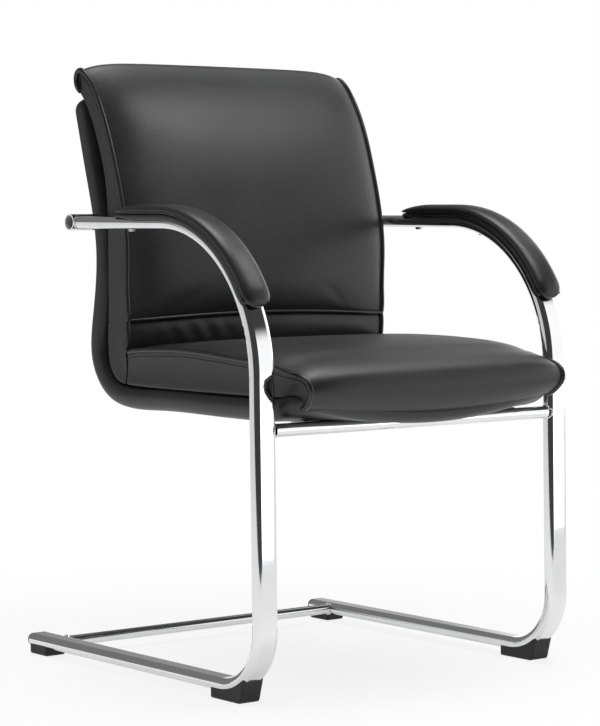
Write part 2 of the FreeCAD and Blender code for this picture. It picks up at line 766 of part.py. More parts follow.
def back_outline(share):
    swell = dim("back_crown") * share
    lift = swell * dim("back_crest_share")
    corners = [
        (dim("lumbar_seam_y") - swell, dim("lumbar_seam_z")),
        (dim("heel_y") - dim("lumbar_back_inset"), dim("lumbar_seam_z")),
        (dim("waist_y"), dim("waist_z")),
        (dim("shell_top_y"), dim("shell_top_z")),
        (dim("back_roll_y"), dim("shell_top_z") + dim("back_roll_gap")),
        (dim("back_roll_y"), dim("back_crest_z") + lift),
        (dim("back_crest_y") - lift, dim("back_crest_z") + lift),
        (dim("back_shoulder_y") - swell * dim("back_shoulder_share"), dim("back_shoulder_z")),
        (dim("back_upper_y") - swell, dim("back_upper_z")),
        (dim("back_waist_y") - swell, dim("back_waist_z")),
    ]
    radii = [None, None, None, None, dim("back_roll_radius"), dim("back_crest_rear_radius"),
             dim("back_crest_radius"), dim("back_shoulder_radius"), dim("back_upper_radius"),
             dim("back_waist_radius")]
    return corners, radii


def lumbar_outline(share):
    swell = dim("back_crown") * share
    rise = dim("seat_crown") * share * dim("seat_rear_share")
    corners = [
        (dim("seat_rear_y"), dim("seat_line_z")),
        (dim("heel_y") - dim("heel_radius") * 0.9, dim("seat_line_z")),
        (dim("heel_y") - dim("heel_radius") * 0.38, dim("seat_line_z") + dim("heel_radius") * 0.5),
        (dim("heel_y") - dim("lumbar_back_inset"), dim("lumbar_seam_z")),
        (dim("lumbar_seam_y") - swell, dim("lumbar_seam_z")),
        (dim("seat_rear_y") - swell * dim("lumbar_fold_share"), dim("seat_rear_z") + rise + dim("lumbar_fold")),
        (dim("seat_rear_y"), dim("seat_rear_z") + rise),
    ]
    return corners, [None] * len(corners)


crowned("seat_cushion", seat_outline)
crowned("back_cushion", back_outline)
crowned("lumbar_strip", lumbar_outline)

doc.recompute()

# Every object must have come out whole before anything is written
for item in doc.Objects:
    if "Invalid" in item.State or "Error" in item.State:
        raise RuntimeError(f"{item.Name} failed: {item.State}")
for name, item in NODES.items():
    item.Label = name
    if item.Shape.isNull() or not item.Shape.isValid():
        raise RuntimeError(f"{name} has no valid shape")

os.makedirs("parts", exist_ok=True)
for name, item in NODES.items():
    item.Shape.exportStep(f"parts/{name}.step")
    box = item.Shape.optimalBoundingBox()
    print(f"{name}: {len(item.Shape.Solids)} solids, {item.Shape.Volume / 1000:.1f} cm3, "
          f"x {box.XMin:.1f}..{box.XMax:.1f} y {box.YMin:.1f}..{box.YMax:.1f} z {box.ZMin:.1f}..{box.ZMax:.1f}")
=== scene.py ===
"""A visitor chair: chromed cantilever frame, leather-wrapped shell, boxed cushions and padded arms."""

import math

import bmesh
import bpy
import numpy as np
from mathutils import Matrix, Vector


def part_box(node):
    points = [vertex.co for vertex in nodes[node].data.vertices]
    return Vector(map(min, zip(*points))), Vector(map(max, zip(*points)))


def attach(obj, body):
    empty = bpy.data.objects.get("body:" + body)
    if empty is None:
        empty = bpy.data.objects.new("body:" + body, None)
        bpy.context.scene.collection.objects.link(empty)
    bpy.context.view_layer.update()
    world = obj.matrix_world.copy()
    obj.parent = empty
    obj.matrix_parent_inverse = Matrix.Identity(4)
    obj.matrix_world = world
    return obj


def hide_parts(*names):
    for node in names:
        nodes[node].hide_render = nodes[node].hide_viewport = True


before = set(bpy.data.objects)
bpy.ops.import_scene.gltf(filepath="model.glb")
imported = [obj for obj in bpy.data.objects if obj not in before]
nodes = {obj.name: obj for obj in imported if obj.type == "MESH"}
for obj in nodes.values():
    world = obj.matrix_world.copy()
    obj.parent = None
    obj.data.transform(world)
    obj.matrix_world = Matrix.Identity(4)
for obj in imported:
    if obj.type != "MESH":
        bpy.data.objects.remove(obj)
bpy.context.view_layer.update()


# Side tubes
# One flat-oval steel tube a side, bent into arm, front bend, leg, floor bend and runner, then polished and
# chromed. The plating is a mirror with a faint haze from wiping.
CHROME_DARK = (0.80, 0.80, 0.81)
CHROME_LIGHT = (0.86, 0.86, 0.87)
CHROME_SMOOTH = 0.035
CHROME_HAZY = 0.075
HAZE_TO_METRE = 14.0
# Nearly all values of a noise pattern lie between these two.
PATTERN_LOW = 0.3
PATTERN_HIGH = 0.7


def new_material(name):
    """A material with its shader, ready for its nodes: the material, its node tree and the shader."""
    material = bpy.data.materials.new(name)
    material.use_nodes = True
    return material, material.node_tree, material.node_tree.nodes["Principled BSDF"]


def pattern(tree, kind, scale, detail=2.0):
    """A noise or cell pattern fixed to the piece, with so many cells to the metre."""
    place = tree.nodes.new("ShaderNodeTexCoord")
    texture = tree.nodes.new(kind)
    texture.inputs["Scale"].default_value = scale
    if "Detail" in texture.inputs:
        texture.inputs["Detail"].default_value = detail
    tree.links.new(place.outputs["Object"], texture.inputs["Vector"])
    return texture


def spread(tree, value, socket, low, high, start=PATTERN_LOW, end=PATTERN_HIGH):
    """Sends a pattern's values, stretched from start..end to low..high, into a socket."""
    stretch = tree.nodes.new("ShaderNodeMapRange")
    stretch.inputs["From Min"].default_value = start
    stretch.inputs["From Max"].default_value = end
    stretch.inputs["To Min"].default_value = low
    stretch.inputs["To Max"].default_value = high
    tree.links.new(value, stretch.inputs["Value"])
    tree.links.new(stretch.outputs["Result"], socket)


def tint(tree, value, socket, dark, light):
    """Sends a pattern's values into a colour socket, as a blend from the dark colour to the light one."""
    ramp = tree.nodes.new("ShaderNodeValToRGB")
    ramp.color_ramp.elements[0].color = (*dark, 1.0)
    ramp.color_ramp.elements[1].color = (*light, 1.0)
    ramp.color_ramp.elements[0].position = PATTERN_LOW
    ramp.color_ramp.elements[1].position = PATTERN_HIGH
    tree.links.new(value, ramp.inputs["Fac"])
    tree.links.new(ramp.outputs["Color"], socket)


def relief(tree, height, shader, strength, depth):
    """Raises the surface by a pattern's values, to a depth in metres."""
    bump = tree.nodes.new("ShaderNodeBump")
    bump.inputs["Strength"].default_value = strength
    bump.inputs["Distance"].default_value = depth
    tree.links.new(height, bump.inputs["Height"])
    tree.links.new(bump.outputs["Normal"], shader.inputs["Normal"])


def chrome_finish():
    """Mirror-bright plating: pale metal whose haze varies a little over a hand's breadth."""
    material, tree, shader = new_material("chrome_plating")
    shader.inputs["Metallic"].default_value = 1.0
    haze = pattern(tree, "ShaderNodeTexNoise", HAZE_TO_METRE, 3.0)
    spread(tree, haze.outputs["Fac"], shader.inputs["Roughness"], CHROME_SMOOTH, CHROME_HAZY)
    tint(tree, haze.outputs["Fac"], shader.inputs["Base Color"], CHROME_DARK, CHROME_LIGHT)
    return material


def dress(material, *names):
    """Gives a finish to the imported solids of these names."""
    for name in names:
        for place in nodes[name].material_slots:
            place.material = material


chrome = chrome_finish()
dress(chrome, "left_side_tube", "right_side_tube")


# Arm stubs
# A short open tube across the rear end of each arm, welded on, chromed with the frame. The seat shell is
# bolted through its floor. The weld shows as a rippled bead all round the arm's end.
STUB_Y = 0.192
ARM_Z = 0.647
TUBE_X = 0.270
STUB_RADIUS = 0.012
STUB_WALL = 0.002
TUBE_HALF_WIDE = 0.019
TUBE_HALF_THICK = 0.009
TUBE_ROUNDING = 2.4
BEAD_RADIUS = 0.0014
BEAD_RIPPLE = 0.00015
BEAD_LIFT = 0.0004
STUB_BEAD_POINTS = 160
STUB_RIPPLE_POINTS = 5.0
SEWING_DISTANCE = 0.00002
SHORTEST_EDGE = 0.000005
BORE_COLOUR = (0.46, 0.46, 0.47)
STUB_COLOUR = (0.84, 0.84, 0.85)
BORE_ROUGHNESS = 0.45
STUB_ROUGHNESS = 0.05
# The plating begins and is whole at these distances past the bore.
PLATING_START = 0.0001
PLATING_WHOLE = 0.0004


def grid_faces(rows, columns, round_rows, round_columns):
    """Four-cornered faces between the points of a grid, joined end to end where it is round."""
    row = np.arange(rows if round_rows else rows - 1)[:, None]
    column = np.arange(columns if round_columns else columns - 1)[None, :]
    next_row = (row + 1) % rows
    next_column = (column + 1) % columns
    corners = (
        row * columns + column,
        row * columns + next_column,
        next_row * columns + next_column,
        next_row * columns + column,
    )
    return np.stack([np.broadcast_to(c, (row.size, column.size)) for c in corners], -1).reshape(-1, 4)


def make_piece(name, grids, material):
    """One smooth piece from surface grids, sewn where edges meet.

    Each grid comes with whether it is round by rows and by columns.
    """
    points = []
    faces = []
    start = 0
    for surface, round_rows, round_columns in grids:
        rows, columns = surface.shape[:2]
        points.append(surface.reshape(-1, 3))
        faces.append(grid_faces(rows, columns, round_rows, round_columns) + start)
        start += rows * columns
    mesh = bpy.data.meshes.new(name)
    mesh.from_pydata(np.concatenate(points).tolist(), [], np.concatenate(faces).tolist())
    piece = bpy.data.objects.new(name, mesh)
    bpy.context.scene.collection.objects.link(piece)
    sewing = bmesh.new()
    sewing.from_mesh(mesh)
    bmesh.ops.remove_doubles(sewing, verts=sewing.verts, dist=SEWING_DISTANCE)
    bmesh.ops.dissolve_degenerate(sewing, edges=sewing.edges, dist=SHORTEST_EDGE)
    bmesh.ops.recalc_face_normals(sewing, faces=sewing.faces)
    sewing.to_mesh(mesh)
    sewing.free()
    mesh.shade_smooth()
    mesh.materials.append(material)
    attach(piece, "root")
    return piece


def cord_grid(path, radius, around, sides=10, ring=False):
    """A round cord: circles of that radius about the path, square to it, begun from the direction around.

    A ring's path closes on itself. Any other cord is shut at both ends by a flat disc.
    """
    if ring:
        along = np.roll(path, -1, axis=0) - np.roll(path, 1, axis=0)
    else:
        along = np.gradient(path, axis=0)
    along /= np.linalg.norm(along, axis=1)[:, None]
    first = around - (along * around).sum(1)[:, None] * along
    first /= np.linalg.norm(first, axis=1)[:, None]
    second = np.cross(along, first)
    turn = np.linspace(0.0, 2.0 * math.pi, sides, endpoint=False)
    size = np.broadcast_to(radius, (len(path),))[:, None, None]
    circle = np.cos(turn)[None, :, None] * first[:, None] + np.sin(turn)[None, :, None] * second[:, None]
    cord = path[:, None] + size * circle
    if ring:
        return cord
    ends = np.repeat(path[[0, -1], None], sides, axis=1)
    return np.concatenate([ends[:1], cord, ends[1:]])


def oval(count):
    """Points round a flat oval of the side tube's outline: two straight runs joined by half circles."""
    turn = np.linspace(0.0, 2.0 * math.pi, count, endpoint=False)
    straight = TUBE_HALF_WIDE - TUBE_HALF_THICK
    across = straight * np.clip(TUBE_ROUNDING * np.cos(turn), -1.0, 1.0) + TUBE_HALF_THICK * np.cos(turn)
    return across, TUBE_HALF_THICK * np.sin(turn)


def stub_bead(side):
    """The bead follows the arm's flat-oval outline, laid on the stub's cylinder."""
    across, up = oval(STUB_BEAD_POINTS)
    depth = np.sqrt(STUB_RADIUS**2 - up**2)
    path = np.stack([side * TUBE_X + across, STUB_Y - depth - BEAD_LIFT, ARM_Z + up], -1)
    wave = np.sin(np.arange(STUB_BEAD_POINTS) * 2.0 * math.pi / STUB_RIPPLE_POINTS)
    ripple = BEAD_RADIUS + BEAD_RIPPLE * wave
    return cord_grid(path, ripple, np.array([0.0, 1.0, 0.1]), ring=True)


def stub_finish():
    """Chrome outside and dull bare steel in the bore, told apart by the distance from the stub's axis."""
    material, tree, shader = new_material("stub_chrome")
    place = tree.nodes.new("ShaderNodeTexCoord")
    from_axis = tree.nodes.new("ShaderNodeVectorMath")
    from_axis.operation = "SUBTRACT"
    from_axis.inputs[1].default_value = (0.0, STUB_Y, ARM_Z)
    tree.links.new(place.outputs["Object"], from_axis.inputs[0])
    flatten = tree.nodes.new("ShaderNodeVectorMath")
    flatten.operation = "MULTIPLY"
    flatten.inputs[1].default_value = (0.0, 1.0, 1.0)
    tree.links.new(from_axis.outputs["Vector"], flatten.inputs[0])
    away = tree.nodes.new("ShaderNodeVectorMath")
    away.operation = "LENGTH"
    tree.links.new(flatten.outputs["Vector"], away.inputs[0])
    bore = STUB_RADIUS - STUB_WALL
    start = bore + PLATING_START
    end = bore + PLATING_WHOLE
    value = away.outputs["Value"]
    spread(tree, value, shader.inputs["Metallic"], 0.0, 1.0, start, end)
    spread(tree, value, shader.inputs["Roughness"], BORE_ROUGHNESS, STUB_ROUGHNESS, start, end)
    wall = tree.nodes.new("ShaderNodeMapRange")
    wall.inputs["From Min"].default_value = start
    wall.inputs["From Max"].default_value = end
    tree.links.new(value, wall.inputs["Value"])
    tint(tree, wall.outputs["Result"], shader.inputs["Base Color"], BORE_COLOUR, STUB_COLOUR)
    return material


dress(stub_finish(), "left_arm_stub", "right_arm_stub")
for side, name in ((-1, "left"), (1, "right")):
    make_piece(name + "_stub_weld", [(stub_bead(side), True, True)], chrome)


# Crossbars
# Two round tubes hold the side tubes apart: one under the seat front, one between the runners at the rear.
# Their ends are cut to the side tubes' round edge and welded, then chromed with the frame.
FRONT_BAR_Y = -0.240
FRONT_BAR_Z = float(0.5 * (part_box("front_crossbar")[0][2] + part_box("front_crossbar")[1][2]))
FRONT_BAR_RADIUS = 0.009
FLOOR_BAR_Y = 0.262
FLOOR_BAR_Z = 0.020
FLOOR_BAR_RADIUS = 0.008
BAR_BEAD_POINTS = 100
BAR_RIPPLES = 20.0
# The bead goes no further round the side tube's half-round edge than this.
BAR_BEAD_BESIDE = 0.0085


def bar_bead(side, y, z, radius):
    """The bead runs round the bar where it meets the half-round inner edge of the side tube."""
    turn = np.linspace(0.0, 2.0 * math.pi, BAR_BEAD_POINTS, endpoint=False)
    out = radius + BEAD_LIFT
    beside = np.minimum(np.abs(out * np.cos(turn)), BAR_BEAD_BESIDE)
    inner = TUBE_X - (TUBE_HALF_WIDE - TUBE_HALF_THICK) - np.sqrt(TUBE_HALF_THICK**2 - beside**2)
    path = np.stack([side * inner, y + out * np.cos(turn), z + out * np.sin(turn)], -1)
    ripple = BEAD_RADIUS + BEAD_RIPPLE * np.sin(turn * BAR_RIPPLES)
    return cord_grid(path, ripple, np.array([1.0, 0.02, 0.03]), ring=True)


dress(chrome, "front_crossbar", "floor_crossbar")
for side, name in ((-1, "left"), (1, "right")):
    beads = (
        (bar_bead(side, FRONT_BAR_Y, FRONT_BAR_Z, FRONT_BAR_RADIUS), True, True),
        (bar_bead(side, FLOOR_BAR_Y, FLOOR_BAR_Z, FLOOR_BAR_RADIUS), True, True),
    )
    make_piece(name + "_bar_welds", beads, chrome)


# Runner caps and feet
# Pressed-in plastic caps close the runners' ends. The feet are black moulded rubber with a dull skin, screwed
# on from below.
CLOUDS_TO_METRE = 25.0
ROUGHNESS_SWING = 0.06
PEBBLE_STRENGTH = 0.25
PEBBLE_DEPTH = 0.0003


def moulded_finish(name, dark, light, rough, grain):
    """Moulded plastic or rubber: a dull black with a fine pebbled skin of so many grains to the metre."""
    material, tree, shader = new_material(name)
    cloud = pattern(tree, "ShaderNodeTexNoise", CLOUDS_TO_METRE, 4.0)
    pebble = pattern(tree, "ShaderNodeTexNoise", grain, 2.0)
    tint(tree, cloud.outputs["Fac"], shader.inputs["Base Color"], dark, light)
    smooth, dull = rough - ROUGHNESS_SWING, rough + ROUGHNESS_SWING
    spread(tree, cloud.outputs["Fac"], shader.inputs["Roughness"], smooth, dull)
    relief(tree, pebble.outputs["Fac"], shader, PEBBLE_STRENGTH, PEBBLE_DEPTH)
    return material


RUBBER_DARK = (0.010, 0.010, 0.010)
RUBBER_LIGHT = (0.017, 0.017, 0.017)
CAP_DARK = (0.012, 0.012, 0.013)
CAP_LIGHT = (0.020, 0.020, 0.021)
rubber = moulded_finish("foot_rubber", RUBBER_DARK, RUBBER_LIGHT, rough=0.55, grain=1400.0)
cap_plastic = moulded_finish("runner_cap_plastic", CAP_DARK, CAP_LIGHT, rough=0.42, grain=1800.0)
dress(cap_plastic, "left_runner_cap", "right_runner_cap")
dress(rubber, "left_front_foot", "right_front_foot", "left_rear_foot", "right_rear_foot")


# Core, brackets and fasteners
# The moulded plywood core is hidden in the leather shell. Pressed steel brackets on the front crossbar carry
# the seat, and zinc-plated screws, bolts, inserts and tee nuts hold it all together.
BEECH_DARK = (0.42, 0.27, 0.15)
BEECH_LIGHT = (0.56, 0.40, 0.25)
BEECH_SMOOTH = 0.5
BEECH_DULL = 0.65
WOOD_GRAIN_TO_METRE = 70.0
MOTTLE_TO_METRE = 120.0


def plywood_finish():
    """Beech plywood: pale brown with a fine mottled grain."""
    material, tree, shader = new_material("beech_plywood")
    grain = pattern(tree, "ShaderNodeTexNoise", WOOD_GRAIN_TO_METRE, 5.0)
    tint(tree, grain.outputs["Fac"], shader.inputs["Base Color"], BEECH_DARK, BEECH_LIGHT)
    spread(tree, grain.outputs["Fac"], shader.inputs["Roughness"], BEECH_SMOOTH, BEECH_DULL)
    return material


def plated_finish(name, dark, light, rough):
    """Plated steel with a faint mottle."""
    material, tree, shader = new_material(name)
    shader.inputs["Metallic"].default_value = 1.0
    mottle = pattern(tree, "ShaderNodeTexNoise", MOTTLE_TO_METRE, 4.0)
    tint(tree, mottle.outputs["Fac"], shader.inputs["Base Color"], dark, light)
    smooth, dull = rough - ROUGHNESS_SWING, rough + ROUGHNESS_SWING
    spread(tree, mottle.outputs["Fac"], shader.inputs["Roughness"], smooth, dull)
    return material


ZINC_DARK = (0.42, 0.42, 0.43)
ZINC_LIGHT = (0.55, 0.55, 0.56)
BRACKET_DARK = (0.30, 0.30, 0.31)
BRACKET_LIGHT = (0.38, 0.38, 0.39)
fastener_steel = plated_finish("zinc_plated_steel", ZINC_DARK, ZINC_LIGHT, rough=0.32)
bracket_steel = plated_finish("bracket_steel", BRACKET_DARK, BRACKET_LIGHT, rough=0.38)
dress(plywood_finish(), "shell_core")
dress(bracket_steel, "left_seat_bracket", "right_seat_bracket")
dress(fastener_steel, "seat_screws", "seat_tee_nuts", "arm_bolts")
dress(fastener_steel, "core_inserts", "foot_screws", "arm_pad_screws")


# Shell cover
# The shell is plywood under a thin pad, wrapped in one hide of black leather. It runs from a drooping lip
# under the seat front, round a tight heel, up a hollow back to a rounded top. Its rim is a plain soft roll.
LINE_STEPS = 6000


def smooth_line(stations, places):
    """A line smoothly through the stations: a cubic between each two, with slope and bend carried over.

    The first two columns are its place and set its length, and the other columns follow along. The places are
    shares of that length, from 0 to 1.
    """
    stations = np.asarray(stations, float)
    steps = np.linalg.norm(np.diff(stations[:, :2], axis=0), axis=1)
    marks = np.concatenate(([0.0], np.cumsum(steps)))
    count = len(stations)
    inner = np.arange(1, count - 1)
    system = np.eye(count)
    system[inner, inner - 1] = steps[:-1]
    system[inner, inner] = 2.0 * (steps[:-1] + steps[1:])
    system[inner, inner + 1] = steps[1:]
    right = np.zeros_like(stations)
    right[1:-1] = 6.0 * np.diff(np.diff(stations, axis=0) / steps[:, None], axis=0)
    bend = np.linalg.solve(system, right)

    def at(mark):
        """Points of the line at these distances along the straight steps between stations."""
        span = np.clip(np.searchsorted(marks, mark, side="right") - 1, 0, count - 2)
        width = steps[span]
        after = (mark - marks[span]) / width
        before = 1.0 - after
        line = before[:, None] * stations[span] + after[:, None] * stations[span + 1]
        curve = (before**3 - before)[:, None] * bend[span] + (after**3 - after)[:, None] * bend[span + 1]
        return line + curve * (width**2 / 6.0)[:, None]

    fine = np.linspace(0.0, marks[-1], LINE_STEPS)
    length = np.linalg.norm(np.diff(at(fine)[:, :2], axis=0), axis=1).cumsum()
    length = np.concatenate(([0.0], length)) / length[-1]
    return at(np.interp(places, length, fine))


def outward(line):
    """The direction square to a line in the side view, to the left of the way it runs."""
    along = np.gradient(line[:, :2], axis=0)
    along /= np.linalg.norm(along, axis=1)[:, None]
    return np.stack([-along[:, 1], along[:, 0]], -1)


DYE_CLOUDS_TO_METRE = 9.0
HIDE_GRAINS_TO_METRE = 820.0
PORES_TO_METRE = 520.0
CREASES_TO_METRE = 150.0
CREASE_SHARE = 2.2
GLOSS_SWING = 0.05
HIDE_STRENGTH = 0.45
HIDE_GLOSS = 0.5


def leather_finish(name, dark, light, rough, grain_depth):
    """Black hide: a cell grain of about a millimetre, shallow creases, soft clouds in colour and gloss."""
    material, tree, shader = new_material(name)
    clouds = pattern(tree, "ShaderNodeTexNoise", DYE_CLOUDS_TO_METRE, 5.0)
    grain = pattern(tree, "ShaderNodeTexVoronoi", HIDE_GRAINS_TO_METRE)
    pores = pattern(tree, "ShaderNodeTexNoise", PORES_TO_METRE, 3.0)
    tint(tree, clouds.outputs["Fac"], shader.inputs["Base Color"], dark, light)
    glossy, dull = rough - GLOSS_SWING, rough + GLOSS_SWING
    spread(tree, clouds.outputs["Fac"], shader.inputs["Roughness"], glossy, dull)
    creases = pattern(tree, "ShaderNodeTexNoise", CREASES_TO_METRE, 4.0)
    height = tree.nodes.new("ShaderNodeMath")
    height.operation = "ADD"
    tree.links.new(grain.outputs["Distance"], height.inputs[0])
    tree.links.new(pores.outputs["Fac"], height.inputs[1])
    whole = tree.nodes.new("ShaderNodeMath")
    whole.operation = "MULTIPLY_ADD"
    whole.inputs[1].default_value = CREASE_SHARE
    tree.links.new(creases.outputs["Fac"], whole.inputs[0])
    tree.links.new(height.outputs["Value"], whole.inputs[2])
    relief(tree, whole.outputs["Value"], shader, HIDE_STRENGTH, grain_depth)
    shader.inputs["Specular IOR Level"].default_value = HIDE_GLOSS
    return material


# Columns: place along the middle line (y, z), half thickness, half width.
SHELL_LINE = (
    (-0.2880, 0.3830, 0.0085, 0.241),
    (-0.2700, 0.3882, 0.0115, 0.242),
    (-0.2400, 0.3926, 0.0150, 0.243),
    (-0.2000, 0.3950, 0.0172, 0.243),
    (-0.1000, 0.3953, 0.0174, 0.243),
    (0.0500, 0.3953, 0.0174, 0.243),
    (0.1302, 0.3955, 0.0174, 0.243),
    (0.1606, 0.4026, 0.0172, 0.243),
    (0.1854, 0.4217, 0.0170, 0.243),
    (0.1996, 0.4495, 0.0168, 0.243),
    (0.2010, 0.4789, 0.0166, 0.243),
    (0.1956, 0.5140, 0.0165, 0.243),
    (0.1899, 0.5495, 0.0165, 0.243),
    (0.1875, 0.6070, 0.0165, 0.243),
    (0.1972, 0.6629, 0.0165, 0.243),
    (0.2140, 0.7206, 0.0165, 0.243),
    (0.2310, 0.7790, 0.0165, 0.243),
    (0.2452, 0.8290, 0.0165, 0.243),
)
SHELL_END_ROUND = 0.010
SHELL_FRONT_CORNER = 0.060
SHELL_TOP_CORNER = 0.020
SHELL_BACK_CROWN = 0.004
SHELL_LIP_LOW = 0.0015
SHELL_LIP_LIFT = 0.024
SHELL_LIP_REACH = 0.05
SHELL_END_SHARE = 0.02
SHELL_END_ROWS = 14
SHELL_ROWS = 230
FACE_POINTS = 61
RIM_POINTS = 15


def shell_grid():
    """Stadium sections carried along the middle line, with round corners in plan at both ends.

    The faces are flat and the rims half round. The outer face bulges by a parabola across the width, and the
    front lip is lifted by one towards its corners.
    """
    ends = np.linspace(0.0, SHELL_END_SHARE, SHELL_END_ROWS)
    between = np.linspace(SHELL_END_SHARE, 1.0 - SHELL_END_SHARE, SHELL_ROWS)
    places = np.unique(np.concatenate([ends, between, 1.0 - ends]))
    line = smooth_line(SHELL_LINE, places)
    square = outward(line)
    steps = np.linalg.norm(np.diff(line[:, :2], axis=0), axis=1)
    along = np.concatenate(([0.0], np.cumsum(steps)))
    left = along[-1] - along
    near = np.minimum(along, left)
    fade = np.clip(near / SHELL_END_ROUND, 0.0, 1.0)
    thick = line[:, 2] * np.sqrt(1.0 - (1.0 - fade) ** 2)
    wide = line[:, 3].copy()
    for run, corner in ((along, SHELL_FRONT_CORNER), (left, SHELL_TOP_CORNER)):
        rest = 1.0 - np.clip(run / corner, 0.0, 1.0)
        wide -= corner * (1.0 - np.sqrt(1.0 - rest**2))
    flat = np.linspace(1.0, -1.0, FACE_POINTS)
    level = np.ones(FACE_POINTS)
    none = np.zeros(FACE_POINTS)
    edge = np.ones(RIM_POINTS)
    half_turn = np.linspace(0.0, math.pi, RIM_POINTS + 2)[1:-1]
    across = np.concatenate([flat, -edge, -flat, edge])
    rim = np.concatenate([none, -np.sin(half_turn), none, np.sin(half_turn)])
    face = np.concatenate([level, np.cos(half_turn), -level, -np.cos(half_turn)])
    x = across[None, :] * (wide - thick)[:, None] + rim[None, :] * thick[:, None]
    height = face[None, :] * thick[:, None]
    height -= SHELL_BACK_CROWN * (face < 0.0)[None, :] * (1.0 - across**2)[None, :] * fade[:, None]
    smile = (x / wide[:, None]) ** 2
    near_lip = np.exp(-((along / SHELL_LIP_REACH) ** 2))[:, None]
    sag = near_lip * (SHELL_LIP_LOW - SHELL_LIP_LIFT * smile)
    y = line[:, 0, None] + square[:, 0, None] * height
    z = line[:, 1, None] + square[:, 1, None] * height - sag
    return np.stack([x, y, z], -1)


SHELL_DARK = (0.015, 0.015, 0.0155)
SHELL_LIGHT = (0.022, 0.022, 0.0225)
shell_leather = leather_finish("shell_leather", SHELL_DARK, SHELL_LIGHT, rough=0.37, grain_depth=0.00014)
shell = make_piece("shell_cover_leather", [(shell_grid(), False, True)], shell_leather)
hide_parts("shell_cover")


# Seat cushion
# A boxed cushion of black leather over foam: a crowned top panel that rolls over the front in a waterfall,
# side bands, and piping sewn along the edges. It is glued to the shell, and its nose hangs over the lip.
EDGE_POWER = 9
EDGE_GATHER = 0.82
UNDER_EDGE_SHARE = 0.08
BAND_BOW = 0.0025
BAND_ROWS = 9


def edge_rise(across, tight):
    """Share of the crown's height at each place across: a high power where tight, else a parabola."""
    return tight * (1.0 - np.abs(across) ** EDGE_POWER) + (1.0 - tight) * (1.0 - across**2)


def boxed_cushion(stations, rows, columns):
    """A boxed cushion's panel, side bands, underside and end strips as surface grids, and its edge line.

    The panel lies on the edge line (columns 0 and 1), raised square to it by the crown (column 5), which is
    spread over the half width (column 4) as tightly as column 6 says. The bands run from the edge to the base
    line (columns 2 and 3), bowed in by half a sine wave. The underside goes deeper by column 7 inside them.
    """
    line = smooth_line(stations, np.linspace(0.0, 1.0, rows))
    square = outward(line)
    across = np.sin(np.linspace(-0.5, 0.5, columns) * math.pi * EDGE_GATHER)
    across /= math.sin(0.5 * EDGE_GATHER * math.pi)
    x = line[:, 4, None] * across[None, :]
    rise = line[:, 5, None] * edge_rise(across[None, :], line[:, 6, None])
    y = line[:, 0, None] + square[:, 0, None] * rise
    z = line[:, 1, None] + square[:, 1, None] * rise
    panel = np.stack([x, y, z], -1)
    down = line[:, 2:4] - line[:, :2]
    down_unit = down / np.maximum(np.linalg.norm(down, axis=1), 1e-6)[:, None]
    inside = np.clip((1.0 - np.abs(across)) / UNDER_EDGE_SHARE, 0.0, 1.0)
    deep = line[:, 7, None] * inside[None, :]
    under_y = line[:, 2, None] + down_unit[:, 0, None] * deep
    under_z = line[:, 3, None] + down_unit[:, 1, None] * deep
    under = np.stack([x, under_y, under_z], -1)
    share = np.linspace(0.0, 1.0, BAND_ROWS)[None, :, None]
    bow = BAND_BOW * np.sin(np.linspace(0.0, math.pi, BAND_ROWS))[None, :]
    grids = [(panel, False, False), (under, False, False)]
    for column, side in ((0, -1.0), (-1, 1.0)):
        band = panel[:, column, None] * (1.0 - share) + under[:, column, None] * share
        band[..., 0] -= side * bow
        grids.append((band, False, False))
    for row in (0, -1):
        strip = panel[row, :, None] * (1.0 - share) + under[row, :, None] * share
        strip[0, :, 0] += bow[0]
        strip[-1, :, 0] -= bow[0]
        grids.append((strip, False, False))
    return grids, line


CLOTH_STEPS = 20
CLOTH_MASS = 0.25
CLOTH_STRETCH = 30.0
CLOTH_SHEAR = 15.0
CLOTH_BEND = 1.5
STUFFING_PRESSURE = 4.0


def stuff(piece, sewn, reach):
    """Swells a sewn cover as cloth under inner pressure, held where it is sewn or glued.

    No point moves further than reach: its shift is eased off towards that by a hyperbolic tangent.
    """
    mesh = piece.data
    rest = np.empty(len(mesh.vertices) * 3, np.float32)
    mesh.vertices.foreach_get("co", rest)
    rest = rest.reshape(-1, 3).astype(float)
    group = piece.vertex_groups.new(name="sewn")
    group.add(np.flatnonzero(sewn(rest)).tolist(), 1.0, "REPLACE")
    cloth = piece.modifiers.new("stuffing", "CLOTH")
    settings = cloth.settings
    settings.quality = 6
    settings.mass = CLOTH_MASS
    settings.tension_stiffness = CLOTH_STRETCH
    settings.compression_stiffness = CLOTH_STRETCH
    settings.shear_stiffness = CLOTH_SHEAR
    settings.bending_stiffness = CLOTH_BEND
    settings.use_pressure = True
    settings.uniform_pressure_force = STUFFING_PRESSURE
    settings.vertex_group_mass = "sewn"
    settings.effector_weights.gravity = 0.0
    cloth.collision_settings.use_collision = False
    cloth.point_cache.frame_start = 1
    cloth.point_cache.frame_end = CLOTH_STEPS
    scene = bpy.context.scene
    for step in range(1, CLOTH_STEPS + 1):
        scene.frame_set(step)
    shaped = piece.evaluated_get(bpy.context.evaluated_depsgraph_get())
    moved = np.empty(len(mesh.vertices) * 3, np.float32)
    shaped.data.vertices.foreach_get("co", moved)
    moved = moved.reshape(-1, 3).astype(float)
    piece.modifiers.remove(cloth)
    piece.vertex_groups.remove(group)
    scene.frame_set(1)
    shift = moved - rest
    length = np.maximum(np.linalg.norm(shift, axis=1), 1e-9)
    shift *= (reach * np.tanh(length / reach) / length)[:, None]
    mesh.vertices.foreach_set("co", (rest + shift).astype(np.float32).ravel())
    mesh.update()


def finish_soft(piece):
    """One subdivision rounds off what the mesh leaves angular."""
    smooth = piece.modifiers.new("smooth", "SUBSURF")
    smooth.levels = 1
    smooth.render_levels = 1


